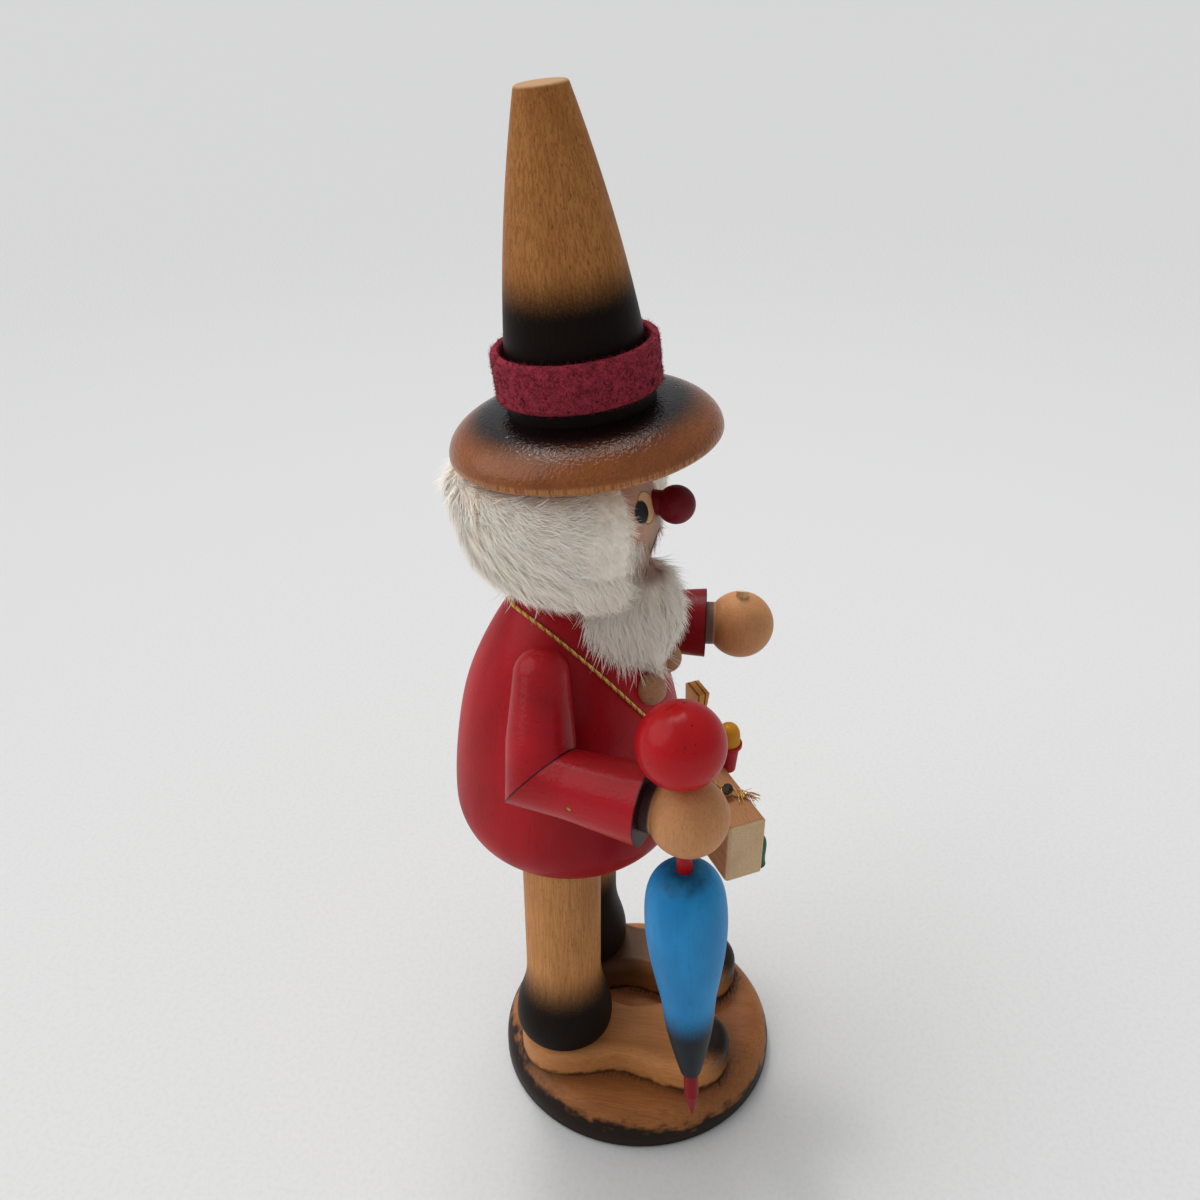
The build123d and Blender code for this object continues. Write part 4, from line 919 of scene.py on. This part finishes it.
def peltFrom(name, node, sink, voxel):
    # the skin under the hairs: the node's own form, shrunk and made even
    bm = bmesh.new()
    bm.from_mesh(nodes[node].data)
    bmesh.ops.remove_doubles(bm, verts=bm.verts, dist=0.005 * mm)
    bm.normal_update()
    mesh = bpy.data.meshes.new(name)
    bm.to_mesh(mesh)
    bm.free()
    piece = bpy.data.objects.new(name, mesh)
    bpy.context.scene.collection.objects.link(piece)
    for kind, settings in (
        ("REMESH", {"mode": "VOXEL", "voxel_size": voxel * mm}),
        ("DISPLACE", {"strength": -sink * mm, "mid_level": 0.0}),
        ("REMESH", {"mode": "VOXEL", "voxel_size": voxel * mm}),
    ):
        modifier = piece.modifiers.new(kind, kind)
        for setting, value in settings.items():
            setattr(modifier, setting, value)
    evaluated = piece.evaluated_get(bpy.context.evaluated_depsgraph_get())
    shaped = bpy.data.meshes.new_from_object(evaluated)
    bpy.data.objects.remove(piece)
    bm = bmesh.new()
    bm.from_mesh(shaped)
    axes = {f"use_axis_{axis}": True for axis in "xyz"}
    for repeat in range(3):
        bmesh.ops.smooth_vert(bm, verts=bm.verts, factor=0.5, **axes)
    bmesh.ops.triangulate(bm, faces=bm.faces)
    bmesh.ops.recalc_face_normals(bm, faces=bm.faces)
    bm.normal_update()
    return bm


# Hair round the back and sides of the head: combed to the face and down, in loose locks
hair = {
    "sink": 1.5, "voxel": 0.9, "tufts": 20000, "pieces": 5, "lock": 3.8, "wave": 0.6, "seed": 11,
    "underBrim": 186.5, "thin": 0.5, "hem": 166.0, "front": 80.0, "low": 164.0, "high": 180.0,
    "temple": 177.0,
    "tuft": {  # hairs drawn about four times as thick as real ones, to show
        "hairs": 5, "length": 7.0, "spread": (0.5, 1.25), "lift": (2, 20), "sway": 17, "root": 0.55,
        "thick": 0.16, "bend": 0.6, "steps": 3,
    },
}
# Beard under the chin: hairs hang and fan out
beard = {
    "sink": 1.5, "voxel": 0.8, "tufts": 3600, "pieces": 2, "lock": 3.4, "wave": 0.55, "seed": 23,
    "tip": 145.0, "tuft": {**hair["tuft"], "length": 7.2, "lift": (1, 15)},
}
# Fur on the cheeks and round the mouth, where the hair and the beard meet
cheeks = {
    "tufts": 1500, "turns": (6.0, 78.0), "foot": 160.0, "tops": (173.5, 186.0), "radius": 19.5, "seed": 31,
    "mouth": (173.0, 4.2), "tuft": {**hair["tuft"], "length": 6.4, "lift": (8, 40)},
}
hatFace = hatSeat.to_3x3() @ upward


def hairComb(root, normal, dice):
    # way and length of a tuft and how it stands off the skin, or nothing where no hair grows
    own = bodySeat.inverted() @ root / mm
    around = Vector((own.x, own.y - figure["head"][1], 0)).normalized()
    facing = bodySeat.to_3x3().inverted() @ normal
    if facing.dot(around) < -0.2 or facing.z > 0.95:
        return None, 0.0, 0.0
    if own.z < hair["underBrim"] and dice.random() < hair["thin"]:
        return None, 0.0, 0.0
    turn = math.degrees(math.acos(max(-1.0, min(1.0, -around.y))))  # 0 at the nose, 180 at the back
    toFace = Vector((0, -1, 0)) - around * -around.y
    high = max(0.0, min(1.0, (own.z - hair["low"]) / (hair["high"] - hair["low"])))
    comb = Vector((0, 0, -1)) * (1.0 - 0.55 * high) + toFace * (0.25 + 0.65 * high)
    scale, stand = (1.1, 0.2) if own.z < hair["hem"] else (1.0, 0.0)
    if own.z > hair["underBrim"]:
        comb = toFace + Vector((0, 0, -0.25))
    if turn < hair["front"]:
        comb, stand = Vector((0, 0, -0.8)) + toFace * 0.5, 0.4
        scale = 0.45 if own.z > hair["temple"] else 0.8
    wave = noise.noise_vector(root / (hair["lock"] * mm)) * hair["wave"]
    return bodySeat.to_3x3() @ comb + wave, scale, stand


def beardComb(root, normal, dice):
    own = bodySeat.inverted() @ root / mm
    facing = bodySeat.to_3x3().inverted() @ normal
    if facing.y > 0.75:  # the side on the chest
        return None, 0.0, 0.0
    comb = bodySeat.to_3x3() @ Vector((own.x * 0.03, -0.08, -1.0))
    scale = 1.0 if own.z > beard["tip"] else 0.8
    wave = noise.noise_vector(root / (beard["lock"] * mm)) * beard["wave"]
    return comb + wave, scale, 0.0


def growCheeks(material):
    dice = random.Random(cheeks["seed"])
    tufts = tuftSet("cheek", cheeks["tuft"], "hairs", fur["tones"], cheeks["seed"])
    coat = bmesh.new()
    near, far = cheeks["turns"]
    low, high = cheeks["tops"]
    mouthHeight, mouthGap = cheeks["mouth"]
    for index in range(cheeks["tufts"]):
        side, turn = (-1, 1)[index % 2], dice.uniform(near, far)
        share = (turn - near) / (far - near)
        height = dice.uniform(cheeks["foot"], low + (high - low) * share)
        rise = height - figure["head"][2]
        ring = math.sqrt(cheeks["radius"] ** 2 - rise ** 2)
        swing = math.radians(turn)
        spot = Vector((side * math.sin(swing) * ring, -math.cos(swing) * ring, rise))
        if Vector((spot.x, height - mouthHeight)).length < mouthGap:
            continue
        normal = bodySeat.to_3x3() @ spot.normalized()
        comb = bodySeat.to_3x3() @ Vector((side * (0.5 - 0.3 * share), 0, -1.0))
        comb += noise.noise_vector(spot / hair["lock"]) * hair["wave"]
        plantTuft(coat, tufts, headSeat @ (spot * mm), normal, comb, dice.uniform(0.6, 1.0), dice)
    newPiece("cheekFur", coat, material, "figure", smooth=False)
    for tuft in tufts:
        bpy.data.meshes.remove(tuft)


def growFur(label, pelt, combAt, material):
    skin = peltFrom(label + "Pelt", label, pelt["sink"], pelt["voxel"])
    count = pelt["tufts"] // 1
    tufts = tuftSet(label, pelt["tuft"], "hairs", fur["tones"], pelt["seed"])
    coats = [bmesh.new() for part in range(pelt["pieces"])]
    grown = 0
    for root, normal, dice in rootsOn(skin, count, pelt["seed"]):
        comb, scale, stand = combAt(root, normal, dice)
        if comb:
            lean = (normal - comb.normalized() * stand).normalized()
            foot = root - normal * fur["rootSink"] * mm
            plantTuft(coats[grown % len(coats)], tufts, foot, lean, comb, scale, dice)
            grown += 1
    hatSpot = hatSeat.to_translation()
    for index, coat in enumerate(coats):
        for vert in coat.verts:  # hairs stay under the brim
            over = (vert.co - hatSpot).dot(hatFace) + fur["brimGap"] * mm
            if over > 0:
                vert.co -= hatFace * over
        newPiece(f"{label}Fur{index + 1}", coat, material, "figure", smooth=False)
    uv = skin.loops.layers.uv.new("hairs")
    for face in skin.faces:
        for loop in face.loops:
            loop[uv].uv = (0.5, 0.3)
    newPiece(label + "Pelt", skin, material, "figure", [label])
    for tuft in tufts:
        bpy.data.meshes.remove(tuft)
    print(label, "fur:", grown, "tufts of", pelt["tuft"]["hairs"], "hairs")


noise.seed_set(fur["waveSeed"])  # without a seed, noise_vector goes by the clock
whiteFur = furFinish()
growFur("hair", hair, hairComb, whiteFur)
growFur("beard", beard, beardComb, whiteFur)
growCheeks(whiteFur)

# Felt band: a strip of wool felt round the crown, lumpy and fuzzy
band = {
    "foot": 14.1, "tall": 10.8, "outside": 18.8, "thick": 1.9, "around": 180, "rise": 10, "edge": 0.55,
    "lump": 0.1, "lumpSize": 1.0, "fuzz": 4200, "seed": 41,
    "pale": "#A43444", "dark": "#842434", "deep": "#681C28",
    "tuft": {
        "hairs": 4, "length": 1.0, "spread": (0.5, 1.4), "lift": (8, 55), "sway": 40, "root": 0.25,
        "thick": 0.06, "bend": 0.6, "steps": 2,
    },
}


def feltFinish():
    # pressed wool: mottled wine red in small matted lumps, fuzz that catches the light
    material, tree, coords = startFinish("wineWoolFelt")
    lumps = mottle(tree, coords, hatSeat, 0.4, 4.0)
    color = paintOver(tree, band["dark"], band["pale"], lumps, 0.36, 0.62)
    mat = mottle(tree, coords, hatSeat, 2.2, 3.0)
    color = paintOver(tree, color, band["deep"], mat, 0.46, 0.66, 0.42)
    fibres = mottle(tree, coords, hatSeat, 0.3, 3.0)
    bumps = [(lumps, 0.1), (fibres, 0.06)]
    sheen = {"Sheen_Weight": 0.3, "Sheen_Roughness": 0.5, "Sheen_Tint": band["pale"]}
    return endFinish(material, color, 0.85, bumps, specular=0.2, **sheen)


def settleFaces(bm):
    # a spin gives its faces in a new order on each run: here they follow their corners' order
    bm.verts.index_update()
    rings = []
    for face in bm.faces:
        ring = [vert.index for vert in face.verts]
        first = ring.index(min(ring))
        rings.append(ring[first:] + ring[:first])
    mesh = bpy.data.meshes.new("settled")
    mesh.from_pydata([vert.co for vert in bm.verts], [], sorted(rings))
    bm.clear()
    bm.from_mesh(mesh)
    bpy.data.meshes.remove(mesh)


def feltBand(material):
    bm = bmesh.new()
    outside, foot = band["outside"], band["foot"]
    inside, top = outside - band["thick"], foot + band["tall"]
    corners = [(inside, foot), (outside, foot), (outside, top), (inside, top)]
    verts = [bm.verts.new(Vector((radius, 0, height)) * mm) for radius, height in corners]
    edges = [bm.edges.new((verts[index - 1], verts[index])) for index in range(4)]
    bmesh.ops.subdivide_edges(bm, edges=[edges[0], edges[2]], cuts=band["rise"] - 1)
    bmesh.ops.spin(
        bm, geom=bm.verts[:] + bm.edges[:], cent=(0, 0, 0), axis=(0, 0, 1), angle=math.tau,
        steps=band["around"], use_merge=True,
    )
    bmesh.ops.recalc_face_normals(bm, faces=bm.faces)
    sharp = [edge for edge in bm.edges if edge.calc_face_angle() > 1.0]
    bmesh.ops.bevel(
        bm, geom=sharp, offset=band["edge"] * mm, offset_type="OFFSET", segments=3, profile=0.5,
        affect="EDGES", material=-1,
    )
    bm.normal_update()
    for vert in bm.verts:
        swell = noise.fractal(vert.co / (band["lumpSize"] * mm), 0.8, 2.0, 3)
        vert.co += vert.normal * swell * band["lump"] * mm
    bmesh.ops.transform(bm, matrix=hatSeat, verts=bm.verts)
    bmesh.ops.triangulate(bm, faces=bm.faces)
    settleFaces(bm)
    bm.normal_update()
    tufts = tuftSet("fuzz", band["tuft"], "fibres", [0.5] * 5, band["seed"])
    fuzz = bmesh.new()
    for root, normal, dice in rootsOn(bm, band["fuzz"], band["seed"]):
        comb = Vector((dice.gauss(0, 1), dice.gauss(0, 1), dice.gauss(0, 1)))
        plantTuft(fuzz, tufts, root, normal, comb, 1.0, dice)
    for tuft in tufts:
        bpy.data.meshes.remove(tuft)
    newPiece("hatBand", bm, material, "figure", ["hat_band"])
    newPiece("hatBandFuzz", fuzz, material, "figure")


feltBand(feltFinish())
print("felt band made")
